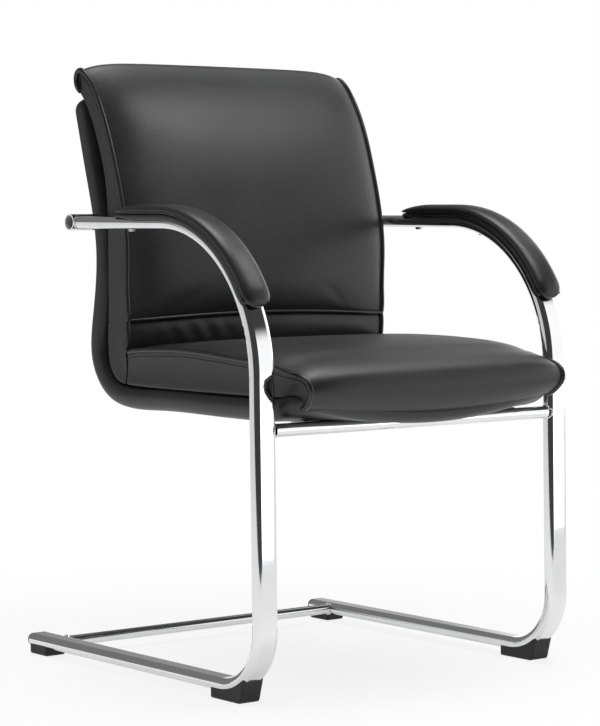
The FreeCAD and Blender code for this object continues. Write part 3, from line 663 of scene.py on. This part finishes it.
# Columns: piping line (y, z), band's lower line (y, z), half width, crown, its tightness, depth of underside.
SEAT_LINE = (
    (-0.2480, 0.4130, -0.243, 0.4135, 0.2200, 0.001, 0.20, 0.0),
    (-0.2575, 0.4050, -0.243, 0.4135, 0.2205, 0.010, 0.10, 0.0),
    (-0.2670, 0.4010, -0.243, 0.4138, 0.2218, 0.017, 0.00, 0.0),
    (-0.2780, 0.4025, -0.243, 0.4140, 0.2245, 0.018, 0.10, 0.0),
    (-0.2885, 0.4110, -0.243, 0.4140, 0.2280, 0.015, 0.30, 0.0),
    (-0.2965, 0.4235, -0.243, 0.4140, 0.2308, 0.011, 0.50, 0.0),
    (-0.2930, 0.4350, -0.242, 0.4140, 0.2328, 0.013, 0.70, 0.0),
    (-0.2800, 0.4430, -0.241, 0.4140, 0.2340, 0.016, 0.80, 0.0),
    (-0.2430, 0.4502, -0.235, 0.4138, 0.2358, 0.019, 0.85, 0.0),
    (-0.2174, 0.4550, -0.217, 0.4133, 0.2376, 0.021, 0.85, 0.0),
    (-0.1710, 0.4595, -0.171, 0.4125, 0.2392, 0.021, 0.85, 0.0),
    (-0.1210, 0.4625, -0.121, 0.4120, 0.2400, 0.019, 0.85, 0.0),
    (-0.0610, 0.4660, -0.061, 0.4115, 0.2400, 0.015, 0.85, 0.0),
    (0.0090, 0.4670, 0.009, 0.4110, 0.2400, 0.011, 0.85, 0.0),
    (0.0570, 0.4650, 0.057, 0.4110, 0.2400, 0.009, 0.85, 0.0),
    (0.0960, 0.4625, 0.098, 0.4115, 0.2400, 0.008, 0.80, 0.0),
    (0.1180, 0.4590, 0.122, 0.4125, 0.2400, 0.008, 0.80, 0.0),
)
SEAT_ROWS = 96
PANEL_COLUMNS = 84
PIPING_RADIUS = 0.0040
PIPING_OUT = 0.0006
STITCH_FROM_EDGE = 0.009
STITCH_LARGEST_SHARE = 0.45
STITCH_PITCH = 0.0045
STITCH_RADIUS = 0.0009
STITCH_THINNEST = 0.35
STITCH_SWELL = 0.65
STITCH_POINTS = 6.0
STITCH_SIDES = 6
STITCH_LIFT = 0.0003
ACROSS = np.array([1.0, 0.0, 0.0])
UPWARD = np.array([0.0, 0.0, 1.0])
CUSHION_DARK = (0.017, 0.017, 0.0175)
CUSHION_LIGHT = (0.025, 0.025, 0.0255)
PIPING_DARK = (0.014, 0.014, 0.0145)
PIPING_LIGHT = (0.021, 0.021, 0.0215)

cushion_leather = leather_finish(
    "cushion_leather", CUSHION_DARK, CUSHION_LIGHT, rough=0.38, grain_depth=0.00016
)
piping_leather = leather_finish("piping_leather", PIPING_DARK, PIPING_LIGHT, rough=0.25, grain_depth=0.00006)


def piping_grids(line, first, last):
    """Leather cords along the panel's two edges, from one row to another, standing half out of the seam."""
    grids = []
    for side in (-1.0, 1.0):
        path = np.stack([side * (line[:, 4] + PIPING_OUT), line[:, 0], line[:, 1]], -1)[first:last]
        grids.append((cord_grid(path, PIPING_RADIUS, ACROSS), False, True))
    return grids


def stitch_grid(path, around):
    """A row of stitches: a thread along the path that swells by a sine wave once in every pitch."""
    steps = np.linalg.norm(np.diff(path, axis=0), axis=1)
    along = np.concatenate(([0.0], np.cumsum(steps)))
    fine = np.linspace(0.0, along[-1], int(STITCH_POINTS * along[-1] / STITCH_PITCH))
    thread = np.stack([np.interp(fine, along, path[:, axis]) for axis in range(3)], -1)
    swell = STITCH_THINNEST + STITCH_SWELL * np.abs(np.sin(math.pi * fine / STITCH_PITCH))
    return cord_grid(thread, STITCH_RADIUS * swell, around, STITCH_SIDES)


def band_stitches(line):
    """Stitch rows on both side bands, a finger's breadth from the piping and parallel to it."""
    down = line[:, 2:4] - line[:, :2]
    depth = np.maximum(np.linalg.norm(down, axis=1), 1e-6)
    share = np.minimum(STITCH_FROM_EDGE / depth, STITCH_LARGEST_SHARE)
    place = line[:, :2] + share[:, None] * down
    out = line[:, 4] - BAND_BOW * np.sin(math.pi * share) + STITCH_LIFT
    sides = [np.stack([side * out, place[:, 0], place[:, 1]], -1) for side in (-1.0, 1.0)]
    return [(stitch_grid(path, ACROSS), False, True) for path in sides]


seat_grids, seat_line = boxed_cushion(SEAT_LINE, SEAT_ROWS, PANEL_COLUMNS)
seat = make_piece("seat_cushion_leather", seat_grids, cushion_leather)


SEAT_SEWN_X = 0.2325
SEAT_GLUED_Z = 0.4165
SEAT_GLUED_Y = -0.268
SEAT_TUCKED_Y = 0.095
SEAT_NOSE_Y = -0.215
SEAT_REACH = 0.002
SEAT_SEAM_ROW = -5


def seat_held(points):
    """The seat is sewn along its piping, glued to the shell, tucked in behind and tight over its nose."""
    sides = np.abs(points[:, 0]) > SEAT_SEWN_X
    glued = (points[:, 2] < SEAT_GLUED_Z) & (points[:, 1] > SEAT_GLUED_Y)
    tucked = (points[:, 1] > SEAT_TUCKED_Y) | (points[:, 1] < SEAT_NOSE_Y)
    return sides | glued | tucked


stuff(seat, seat_held, SEAT_REACH)
finish_soft(seat)
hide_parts("seat_cushion")
seat_seam = seat_grids[0][0][SEAT_SEAM_ROW] + STITCH_LIFT * UPWARD
seat_trim = piping_grids(seat_line, 0, SEAT_ROWS - 1) + band_stitches(seat_line)
seat_trim.append((stitch_grid(seat_seam, UPWARD), False, True))
make_piece("seat_piping", seat_trim, piping_leather)


# Lumbar strip
# A narrow padded strip sewn between the seat and the back, pulled in at both seams, so its leather puckers.
LUMBAR_LINE = (
    (0.1230, 0.4560, 0.1235, 0.4130, 0.2400, 0.000, 0.60, 0.0),
    (0.1205, 0.4640, 0.1440, 0.4175, 0.2400, 0.002, 0.60, 0.0),
    (0.1180, 0.4720, 0.1600, 0.4325, 0.2400, 0.004, 0.60, 0.0),
    (0.1165, 0.4850, 0.1675, 0.4600, 0.2400, 0.006, 0.60, 0.0),
    (0.1165, 0.4970, 0.1685, 0.4880, 0.2400, 0.006, 0.60, 0.0),
    (0.1180, 0.5045, 0.1680, 0.5040, 0.2400, 0.003, 0.60, 0.0),
)
LUMBAR_ROWS = 28
LUMBAR_PIPING_START = 4
HALF_WIDTH = LUMBAR_LINE[0][4]
PUCKER_DEPTH = 0.0012
PUCKERS_TO_METRE = 30.0
PUCKER_SLANT = 24.0
PUCKER_X = -0.12
PUCKER_REACH = 0.07


def pucker(panel):
    """Slanted waves in the strip's leather, strongest left of the middle and gone at its seams and ends."""
    x = panel[..., 0]
    z = panel[..., 2]
    wave = np.sin(2.0 * math.pi * (PUCKERS_TO_METRE * x + PUCKER_SLANT * z))
    window = np.exp(-(((x - PUCKER_X) / PUCKER_REACH) ** 2)) * (1.0 - (x / HALF_WIDTH) ** 2)
    window *= np.sin(np.linspace(0.0, math.pi, len(panel)))[:, None]
    panel[..., 1] -= PUCKER_DEPTH * wave * window


SEAM_Z = 0.5035
SEAM_ARCH = 0.007
SEAM_ARCH_REACH = 0.018
SEAM_ARCH_FALL = 1.3


def arched(grids):
    """Bends what lies near the seam of back and strip up in the middle, by a parabola across the width."""
    bent = []
    for surface, round_rows, round_columns in grids:
        x = surface[..., 0] / HALF_WIDTH
        near = np.exp(-(((surface[..., 2] - SEAM_Z) / SEAM_ARCH_REACH) ** 2))
        raised = surface.copy()
        raised[..., 2] += SEAM_ARCH * (1.0 - SEAM_ARCH_FALL * x**2) * near
        bent.append((raised, round_rows, round_columns))
    return bent


lumbar_grids, lumbar_line = boxed_cushion(LUMBAR_LINE, LUMBAR_ROWS, PANEL_COLUMNS)
pucker(lumbar_grids[0][0])
lumbar_grids = arched(lumbar_grids)
lumbar = make_piece("lumbar_strip_leather", lumbar_grids, cushion_leather)


LUMBAR_SEWN_X = 0.236
LUMBAR_UNDER_Y = 0.1215
LUMBAR_SEAM_Z = 0.501
LUMBAR_REACH = 0.0015


def lumbar_held(points):
    """The strip is sewn along its ends, its seams and its underside."""
    seams = (points[:, 1] > LUMBAR_UNDER_Y) | (points[:, 2] > LUMBAR_SEAM_Z)
    return (np.abs(points[:, 0]) > LUMBAR_SEWN_X) | seams


stuff(lumbar, lumbar_held, LUMBAR_REACH)
finish_soft(lumbar)
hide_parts("lumbar_strip")
lumbar_trim = piping_grids(lumbar_line, LUMBAR_PIPING_START, LUMBAR_ROWS)
make_piece("lumbar_piping", lumbar_trim, piping_leather)


# Back cushion
# A boxed cushion like the seat's: a crowned panel that follows the hollow of the back and rolls over the top
# of the shell, with side bands and piping.
BACK_LINE = (
    (0.1180, 0.5030, 0.168, 0.5035, 0.2400, 0.003, 0.80, 0.003),
    (0.1160, 0.5100, 0.167, 0.5110, 0.2400, 0.006, 0.80, 0.003),
    (0.1160, 0.5370, 0.166, 0.5370, 0.2405, 0.014, 0.85, 0.003),
    (0.1155, 0.6070, 0.166, 0.6070, 0.2410, 0.017, 0.85, 0.003),
    (0.1270, 0.6770, 0.166, 0.6770, 0.2420, 0.018, 0.85, 0.014),
    (0.1460, 0.7400, 0.176, 0.7360, 0.2430, 0.018, 0.85, 0.028),
    (0.1710, 0.8030, 0.201, 0.7960, 0.2440, 0.017, 0.85, 0.022),
    (0.1970, 0.8450, 0.220, 0.8240, 0.2440, 0.015, 0.88, 0.006),
    (0.2150, 0.8635, 0.228, 0.8330, 0.2445, 0.0145, 0.90, 0.0),
    (0.2300, 0.8700, 0.231, 0.8360, 0.2440, 0.0135, 0.90, 0.0),
    (0.2405, 0.8655, 0.232, 0.8380, 0.2425, 0.008, 0.85, 0.0),
    (0.2440, 0.8560, 0.232, 0.8385, 0.2415, 0.006, 0.80, 0.0),
    (0.2415, 0.8460, 0.232, 0.8385, 0.2410, 0.003, 0.80, 0.0),
    (0.2350, 0.8395, 0.232, 0.8385, 0.2405, 0.001, 0.80, 0.0),
)
BACK_ROWS = 84
SEAM_WELT_RADIUS = 0.0026
SEAM_WELT_SHIFT = np.array([0.0, -0.0012, -0.0010])
BACKWARD = np.array([0.0, 1.0, 0.0])
back_grids, back_line = boxed_cushion(BACK_LINE, BACK_ROWS, PANEL_COLUMNS)
back_grids = arched(back_grids)
back = make_piece("back_cushion_leather", back_grids, cushion_leather)


BACK_SEWN_X = 0.2375
BACK_LOW_Z = 0.515
BACK_GLUE_DEPTH = 0.003
BACK_GLUED_Z = 0.838
BACK_ROLL_Z = 0.852
BACK_REACH = 0.002


def back_held(points):
    """The back is sewn along its piping and lower seam, glued to the shell and stretched over its top."""
    sides = np.abs(points[:, 0]) > BACK_SEWN_X
    low = points[:, 2] < BACK_LOW_Z
    base_y = np.interp(points[:, 2], back_line[:, 3], back_line[:, 2])
    glued = (points[:, 1] > base_y - BACK_GLUE_DEPTH) & (points[:, 2] < BACK_GLUED_Z)
    rolled = points[:, 2] > BACK_ROLL_Z
    return sides | low | rolled | glued


stuff(back, back_held, BACK_REACH)
finish_soft(back)
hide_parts("back_cushion")
back_seam = back_grids[0][0][1] + SEAM_WELT_SHIFT
back_trim = piping_grids(back_line, 0, BACK_ROWS) + band_stitches(back_line)
back_trim.append((cord_grid(back_seam, SEAM_WELT_RADIUS, BACKWARD), False, True))
make_piece("back_piping", back_trim, piping_leather)


# Arm pads
# Each arm has a stuffed leather pad on a thin leather-wrapped base, screwed on from under the tube. The pad
# starts in a thin tip behind, thickens forward and wraps round the front bend to a rounded lip.
PAD_REAR_Y = 0.093
BASE_REAR_Y = 0.081
BEND_Y = -0.0286
BEND_Z = 0.437
BEND_RADIUS = 0.210
PAD_UNDER = 0.014
PAD_WRAP = 64.0
BASE_WRAP = 62.0
PAD_HALF_WIDE = 0.0235
PAD_HEIGHT = 0.0120
PAD_TIP_LONG = 0.065
PAD_TIP_ROUND = 0.034
PAD_NOSE = 0.026
PAD_ROWS = 130
PAD_POINTS = 44
PAD_GATHER = 0.55
# The pad is widest at this share of its height.
PAD_WAIST = 0.30
PAD_SHOULDER = 0.70
# Half of the base's section, from the middle of its top down to the skirt's edge and back up inside.
BASE_OUTSIDE = (
    (0.0, 0.0142),
    (0.0120, 0.0142),
    (0.0190, 0.0137),
    (0.0213, 0.0110),
    (0.0215, 0.0070),
    (0.0207, 0.0036),
)
BASE_INSIDE = ((0.0190, 0.0037), (0.0186, 0.0055), (0.0160, 0.0083), (0.0120, 0.0092), (0.0, 0.0093))
BASE_SHOULDER = 0.0100
BASE_ROWS = 90
BASE_POINTS = 16
BASE_GATHER = 0.4
BASE_TIP = 0.018
BASE_TIP_NARROW = 0.10
BASE_TIP_DROP = 0.0030
BASE_NOSE = 0.020
BASE_NOSE_NARROW = 0.08
BASE_NOSE_DROP = 0.0025
SKIRT_RUN = 0.045
SKIRT_NOSE_SHARE = 0.7
WELT_RADIUS = 0.0011
WELT_SIDES = 8
WELT_BACK = 0.010
WELT_WRAP = 62.0
WELT_LIFT = 0.0006
WELT_INSET = 0.0012
WELT_TIP_SHARE = 0.6


def along_arm(rear_y, wrap, count, gather):
    """Places along the arm, from a rear end to an angle round the bend: run, what is left of it, y and turn.

    The run is measured at the pad's underside, and y stays at the bend's middle from there on. Gather draws
    the places together at both ends by a sine wave.
    """
    radius = BEND_RADIUS + PAD_UNDER
    straight = rear_y - BEND_Y
    total = straight + radius * math.radians(wrap)
    share = np.linspace(0.0, 1.0, count)
    run = total * (share - gather * np.sin(2.0 * math.pi * share) / (2.0 * math.pi))
    turn = np.clip(run - straight, 0.0, None) / radius
    level_y = np.where(run < straight, rear_y - run, BEND_Y)
    return run, total - run, level_y, turn


def on_arm(level_y, turn, height):
    """Side-view place at a height above the arm's middle line: level behind the bend, then on its circle."""
    reach = BEND_RADIUS + height
    return level_y - reach * np.sin(turn), BEND_Z + reach * np.cos(turn)


def pad_grid(side):
    """A loaf section carried along the arm and round its bend, to a thin tip behind and a tongue in front.

    The section is an oval of sine and cosine powers, flat below. Its height and width fade by powers too.
    """
    run, left, level_y, turn = along_arm(PAD_REAR_Y, PAD_WRAP, PAD_ROWS, PAD_GATHER)
    rear = np.clip(run / PAD_TIP_LONG, 0.0, 1.0)
    nose = 1.0 - np.clip(left / PAD_NOSE, 0.0, 1.0)
    high = PAD_HEIGHT * np.sin(0.5 * math.pi * rear) ** 0.8 * (1.0 - nose**2.2) ** 0.5
    tip = 1.0 - np.clip(run / PAD_TIP_ROUND, 0.0, 1.0)
    wide = PAD_HALF_WIDE * np.sqrt(1.0 - tip**2) * (1.0 - nose**3) ** 0.5
    angle = np.linspace(0.0, 2.0 * math.pi, PAD_POINTS, endpoint=False)
    across = np.sign(np.cos(angle)) * np.abs(np.cos(angle)) ** 0.7
    upper = PAD_WAIST + PAD_SHOULDER * np.abs(np.sin(angle)) ** 0.9
    lower = PAD_WAIST - PAD_WAIST * np.abs(np.sin(angle)) ** 0.6
    lift = np.where(np.sin(angle) > 0.0, upper, lower)
    y, z = on_arm(level_y[:, None], turn[:, None], PAD_UNDER + high[:, None] * lift[None, :])
    x = side * TUBE_X + wide[:, None] * across[None, :]
    return np.stack([x, y, z], -1)


def base_grid(side):
    """A channel section, open below, carried along the arm: its skirts hang over both sides of the tube.

    At both ends the section shuts on the line halfway between its outside and its inside.
    """
    outside = smooth_line(BASE_OUTSIDE, np.linspace(0.0, 1.0, BASE_POINTS))
    inside = smooth_line(BASE_INSIDE, np.linspace(0.0, 1.0, BASE_POINTS))
    half = np.concatenate([outside, inside])
    whole = np.concatenate([half, half[::-1] * (-1.0, 1.0)])
    run, left, level_y, turn = along_arm(BASE_REAR_Y, BASE_WRAP, BASE_ROWS, BASE_GATHER)
    tip = 1.0 - np.clip(run / BASE_TIP, 0.0, 1.0)
    nose = 1.0 - np.clip(left / BASE_NOSE, 0.0, 1.0)
    skirt = np.clip(run / SKIRT_RUN, 0.0, 1.0) * (1.0 - SKIRT_NOSE_SHARE * nose**2)
    opposite = np.concatenate([half[::-1], half * (-1.0, 1.0)])
    middle = 0.5 * (whole + opposite)
    closing = np.zeros(BASE_ROWS)
    closing[[0, -1]] = 1.0
    section = whole[None] + closing[:, None, None] * (middle - whole)[None]
    hang = np.clip(BASE_SHOULDER - section[..., 1], 0.0, None)
    section[..., 1] += (1.0 - skirt[:, None]) * hang
    wide = (1.0 - BASE_TIP_NARROW * tip**2) * (1.0 - BASE_NOSE_NARROW * nose**2)
    drop = BASE_TIP_DROP * tip**2 + BASE_NOSE_DROP * nose**2
    y, z = on_arm(level_y[:, None], turn[:, None], section[..., 1] - drop[:, None])
    x = side * TUBE_X + wide[:, None] * section[..., 0]
    return np.stack([x, y, z], -1)


def pad_welt(side, edge):
    """A thin cord along one lower edge of the pad, where its cover is sewn to the wrap of the base."""
    run, _, level_y, turn = along_arm(PAD_REAR_Y - WELT_BACK, WELT_WRAP, BASE_ROWS, BASE_GATHER)
    tip = 1.0 - np.clip(run / PAD_TIP_ROUND, 0.0, 1.0)
    y, z = on_arm(level_y, turn, PAD_UNDER + WELT_LIFT)
    x = side * TUBE_X + edge * (PAD_HALF_WIDE - WELT_INSET) * np.sqrt(1.0 - WELT_TIP_SHARE * tip**2)
    return cord_grid(np.stack([x, y, z], -1), WELT_RADIUS, ACROSS, WELT_SIDES)


PAD_DARK = (0.013, 0.013, 0.0135)
PAD_LIGHT = (0.020, 0.020, 0.0205)
pad_leather = leather_finish("pad_leather", PAD_DARK, PAD_LIGHT, rough=0.34, grain_depth=0.00012)
for side, name in ((-1, "left"), (1, "right")):
    padding = [(pad_grid(side), False, True)]
    pad = make_piece(name + "_arm_pad_leather", padding, pad_leather)
    finish_soft(pad)
    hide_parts(name + "_arm_pad")
    channel = [(base_grid(side), False, True)]
    wrap = make_piece(name + "_arm_pad_wrap", channel, pad_leather)
    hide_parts(name + "_arm_pad_base")
    welts = [(pad_welt(side, edge), False, True) for edge in (-1.0, 1.0)]
    make_piece(name + "_arm_pad_welts", welts, piping_leather)


# Floor and light
# A studio: a white paper floor that keeps a soft shadow, soft boxes to the right, to the left and overhead, a
# dim wall behind, and darkness round the camera, which the chrome mirrors as its dark bands.
FLOOR_FRONT = -1.8
FLOOR_REACH = 6.0
FLOOR_COLOUR = (0.86, 0.86, 0.86, 1.0)
FLOOR_ROUGHNESS = 0.9
SHADOW_SHARE = 0.16
SHADOW_WHOLE = 0.55
SHADOW_GONE = 1.05
MIRRORED_SHARE = 0.5


def floor_finish():
    """White paper: white to the eye but for a share of its shadows by the chair, half as white in mirrors."""
    material, tree, shader = new_material("studio_floor")
    shader.inputs["Base Color"].default_value = FLOOR_COLOUR
    shader.inputs["Roughness"].default_value = FLOOR_ROUGHNESS
    shader.inputs["Specular IOR Level"].default_value = 0.0
    place = tree.nodes.new("ShaderNodeTexCoord")
    away = tree.nodes.new("ShaderNodeVectorMath")
    away.operation = "LENGTH"
    tree.links.new(place.outputs["Object"], away.inputs[0])
    path = tree.nodes.new("ShaderNodeLightPath")
    share = tree.nodes.new("ShaderNodeMath")
    share.operation = "MULTIPLY"
    tree.links.new(path.outputs["Is Camera Ray"], share.inputs[0])
    lit = 1.0 - SHADOW_SHARE
    spread(tree, away.outputs["Value"], share.inputs[1], lit, 1.0, SHADOW_WHOLE, SHADOW_GONE)
    mirrored = tree.nodes.new("ShaderNodeMath")
    mirrored.operation = "MULTIPLY_ADD"
    mirrored.inputs[1].default_value = MIRRORED_SHARE
    tree.links.new(path.outputs["Is Glossy Ray"], mirrored.inputs[0])
    tree.links.new(share.outputs["Value"], mirrored.inputs[2])
    white = tree.nodes.new("ShaderNodeEmission")
    blend = tree.nodes.new("ShaderNodeMixShader")
    tree.links.new(mirrored.outputs["Value"], blend.inputs["Fac"])
    tree.links.new(shader.outputs["BSDF"], blend.inputs[1])
    tree.links.new(white.outputs["Emission"], blend.inputs[2])
    tree.links.new(blend.outputs["Shader"], tree.nodes["Material Output"].inputs["Surface"])
    return material


floor_mesh = bpy.data.meshes.new("studio_floor")
floor_corners = [(-FLOOR_REACH, FLOOR_FRONT, 0.0), (FLOOR_REACH, FLOOR_FRONT, 0.0)]
floor_corners += [(FLOOR_REACH, FLOOR_REACH, 0.0), (-FLOOR_REACH, FLOOR_REACH, 0.0)]
floor_mesh.from_pydata(floor_corners, [], [(0, 1, 2, 3)])
floor_mesh.materials.append(floor_finish())
floor = bpy.data.objects.new("studio_floor", floor_mesh)
bpy.context.scene.collection.objects.link(floor)

world = bpy.data.worlds.new("studio")
bpy.context.scene.world = world
world.use_nodes = True
sky = world.node_tree
backdrop = sky.nodes["Background"]
backdrop.inputs["Color"].default_value = (1.0, 1.0, 1.0, 1.0)


def soft_box(direction, inner, outer, light):
    """A patch of light in the studio: full within inner degrees of a direction, gone past outer."""
    place = sky.nodes.new("ShaderNodeTexCoord")
    match = sky.nodes.new("ShaderNodeVectorMath")
    match.operation = "DOT_PRODUCT"
    match.inputs[1].default_value = direction / np.linalg.norm(direction)
    sky.links.new(place.outputs["Generated"], match.inputs[0])
    edge = sky.nodes.new("ShaderNodeMapRange")
    edge.interpolation_type = "SMOOTHSTEP"
    edge.inputs["From Min"].default_value = math.cos(math.radians(outer))
    edge.inputs["From Max"].default_value = math.cos(math.radians(inner))
    edge.inputs["To Max"].default_value = light
    sky.links.new(match.outputs["Value"], edge.inputs["Value"])
    return edge.outputs["Result"]


ROOM_LIGHT = 0.05
# Columns: direction, degrees of full light, degrees at which it is gone, light. Two large boxes to the right,
# two small ones for the seat's nose and front roll, a large one to the left, a small one for the stubs' ends,
# one overhead, and a small and a wide one behind.
SOFT_BOXES = (
    ((0.92, -0.38, 0.02), 32.0, 35.0, 1.1),
    ((0.92, 0.38, 0.05), 20.0, 27.0, 2.0),
    ((0.62, -0.75, -0.15), 5.0, 12.0, 1.4),
    ((0.74, 0.20, 0.64), 5.0, 14.0, 1.0),
    ((-0.95, 0.28, 0.12), 26.0, 40.0, 0.65),
    ((-0.63, 0.78, -0.06), 4.0, 9.0, 1.0),
    ((0.25, 0.20, 0.94), 8.0, 20.0, 5.0),
    ((0.62, 0.77, -0.12), 10.0, 19.0, 0.7),
    ((0.10, 0.98, 0.22), 35.0, 62.0, 0.14),
)
boxes = [soft_box(*row) for row in SOFT_BOXES]
total_light = sky.nodes.new("ShaderNodeMath")
total_light.inputs[0].default_value = ROOM_LIGHT
sky.links.new(boxes[0], total_light.inputs[1])
for box in boxes[1:]:
    added = sky.nodes.new("ShaderNodeMath")
    sky.links.new(total_light.outputs["Value"], added.inputs[0])
    sky.links.new(box, added.inputs[1])
    total_light = added
ray = sky.nodes.new("ShaderNodeLightPath")
shown = sky.nodes.new("ShaderNodeMix")
sky.links.new(ray.outputs["Is Camera Ray"], shown.inputs["Factor"])
sky.links.new(total_light.outputs["Value"], shown.inputs["A"])
shown.inputs["B"].default_value = 1.0
sky.links.new(shown.outputs["Result"], backdrop.inputs["Strength"])


def turned(place, aim):
    """The turn about x and z that points a lamp or camera from its place to a point."""
    way = np.subtract(aim, place)
    tilt = math.atan2(math.hypot(way[0], way[1]), -way[2])
    return tilt, 0.0, math.atan2(way[1], way[0]) - math.pi / 2.0


FILL_PLACE = (-0.4, -0.6, 2.6)
FILL_AIM = (0.0, 0.0, 0.4)
KEY_PLACE = (0.60, -0.50, 1.72)
KEY_AIM = (-0.1, 0.20, 0.80)


def soft_lamp(name, place, aim, size, watts):
    """A large soft lamp at a place, turned to a point."""
    lamp = bpy.data.lights.new(name, "AREA")
    lamp.shape = "SQUARE"
    lamp.size = size
    lamp.energy = watts
    holder = bpy.data.objects.new(name, lamp)
    holder.location = place
    bpy.context.scene.collection.objects.link(holder)
    holder.rotation_euler = turned(place, aim)
    return holder


fill = soft_lamp("fill_light", FILL_PLACE, FILL_AIM, size=1.8, watts=38.0)
fill.visible_glossy = False
soft_lamp("key_light", KEY_PLACE, KEY_AIM, size=0.6, watts=4.8)


# Camera
# It stands to the front left at a seated eye's height, far enough for nearly parallel edges.
CAMERA_PLACE = (-2.3816, -2.9685, 0.67175)
CAMERA_AIM = (-0.01442, 0.0, 0.44086)
CAMERA_LENS = 128.62
SENSOR_WIDTH = 36.0

view = bpy.data.cameras.new("camera")
view.lens = CAMERA_LENS
view.sensor_width = SENSOR_WIDTH
camera = bpy.data.objects.new("camera", view)
camera.location = CAMERA_PLACE
camera.rotation_euler = turned(CAMERA_PLACE, CAMERA_AIM)
bpy.context.scene.collection.objects.link(camera)
bpy.context.scene.camera = camera
bpy.context.scene.view_settings.view_transform = "Standard"
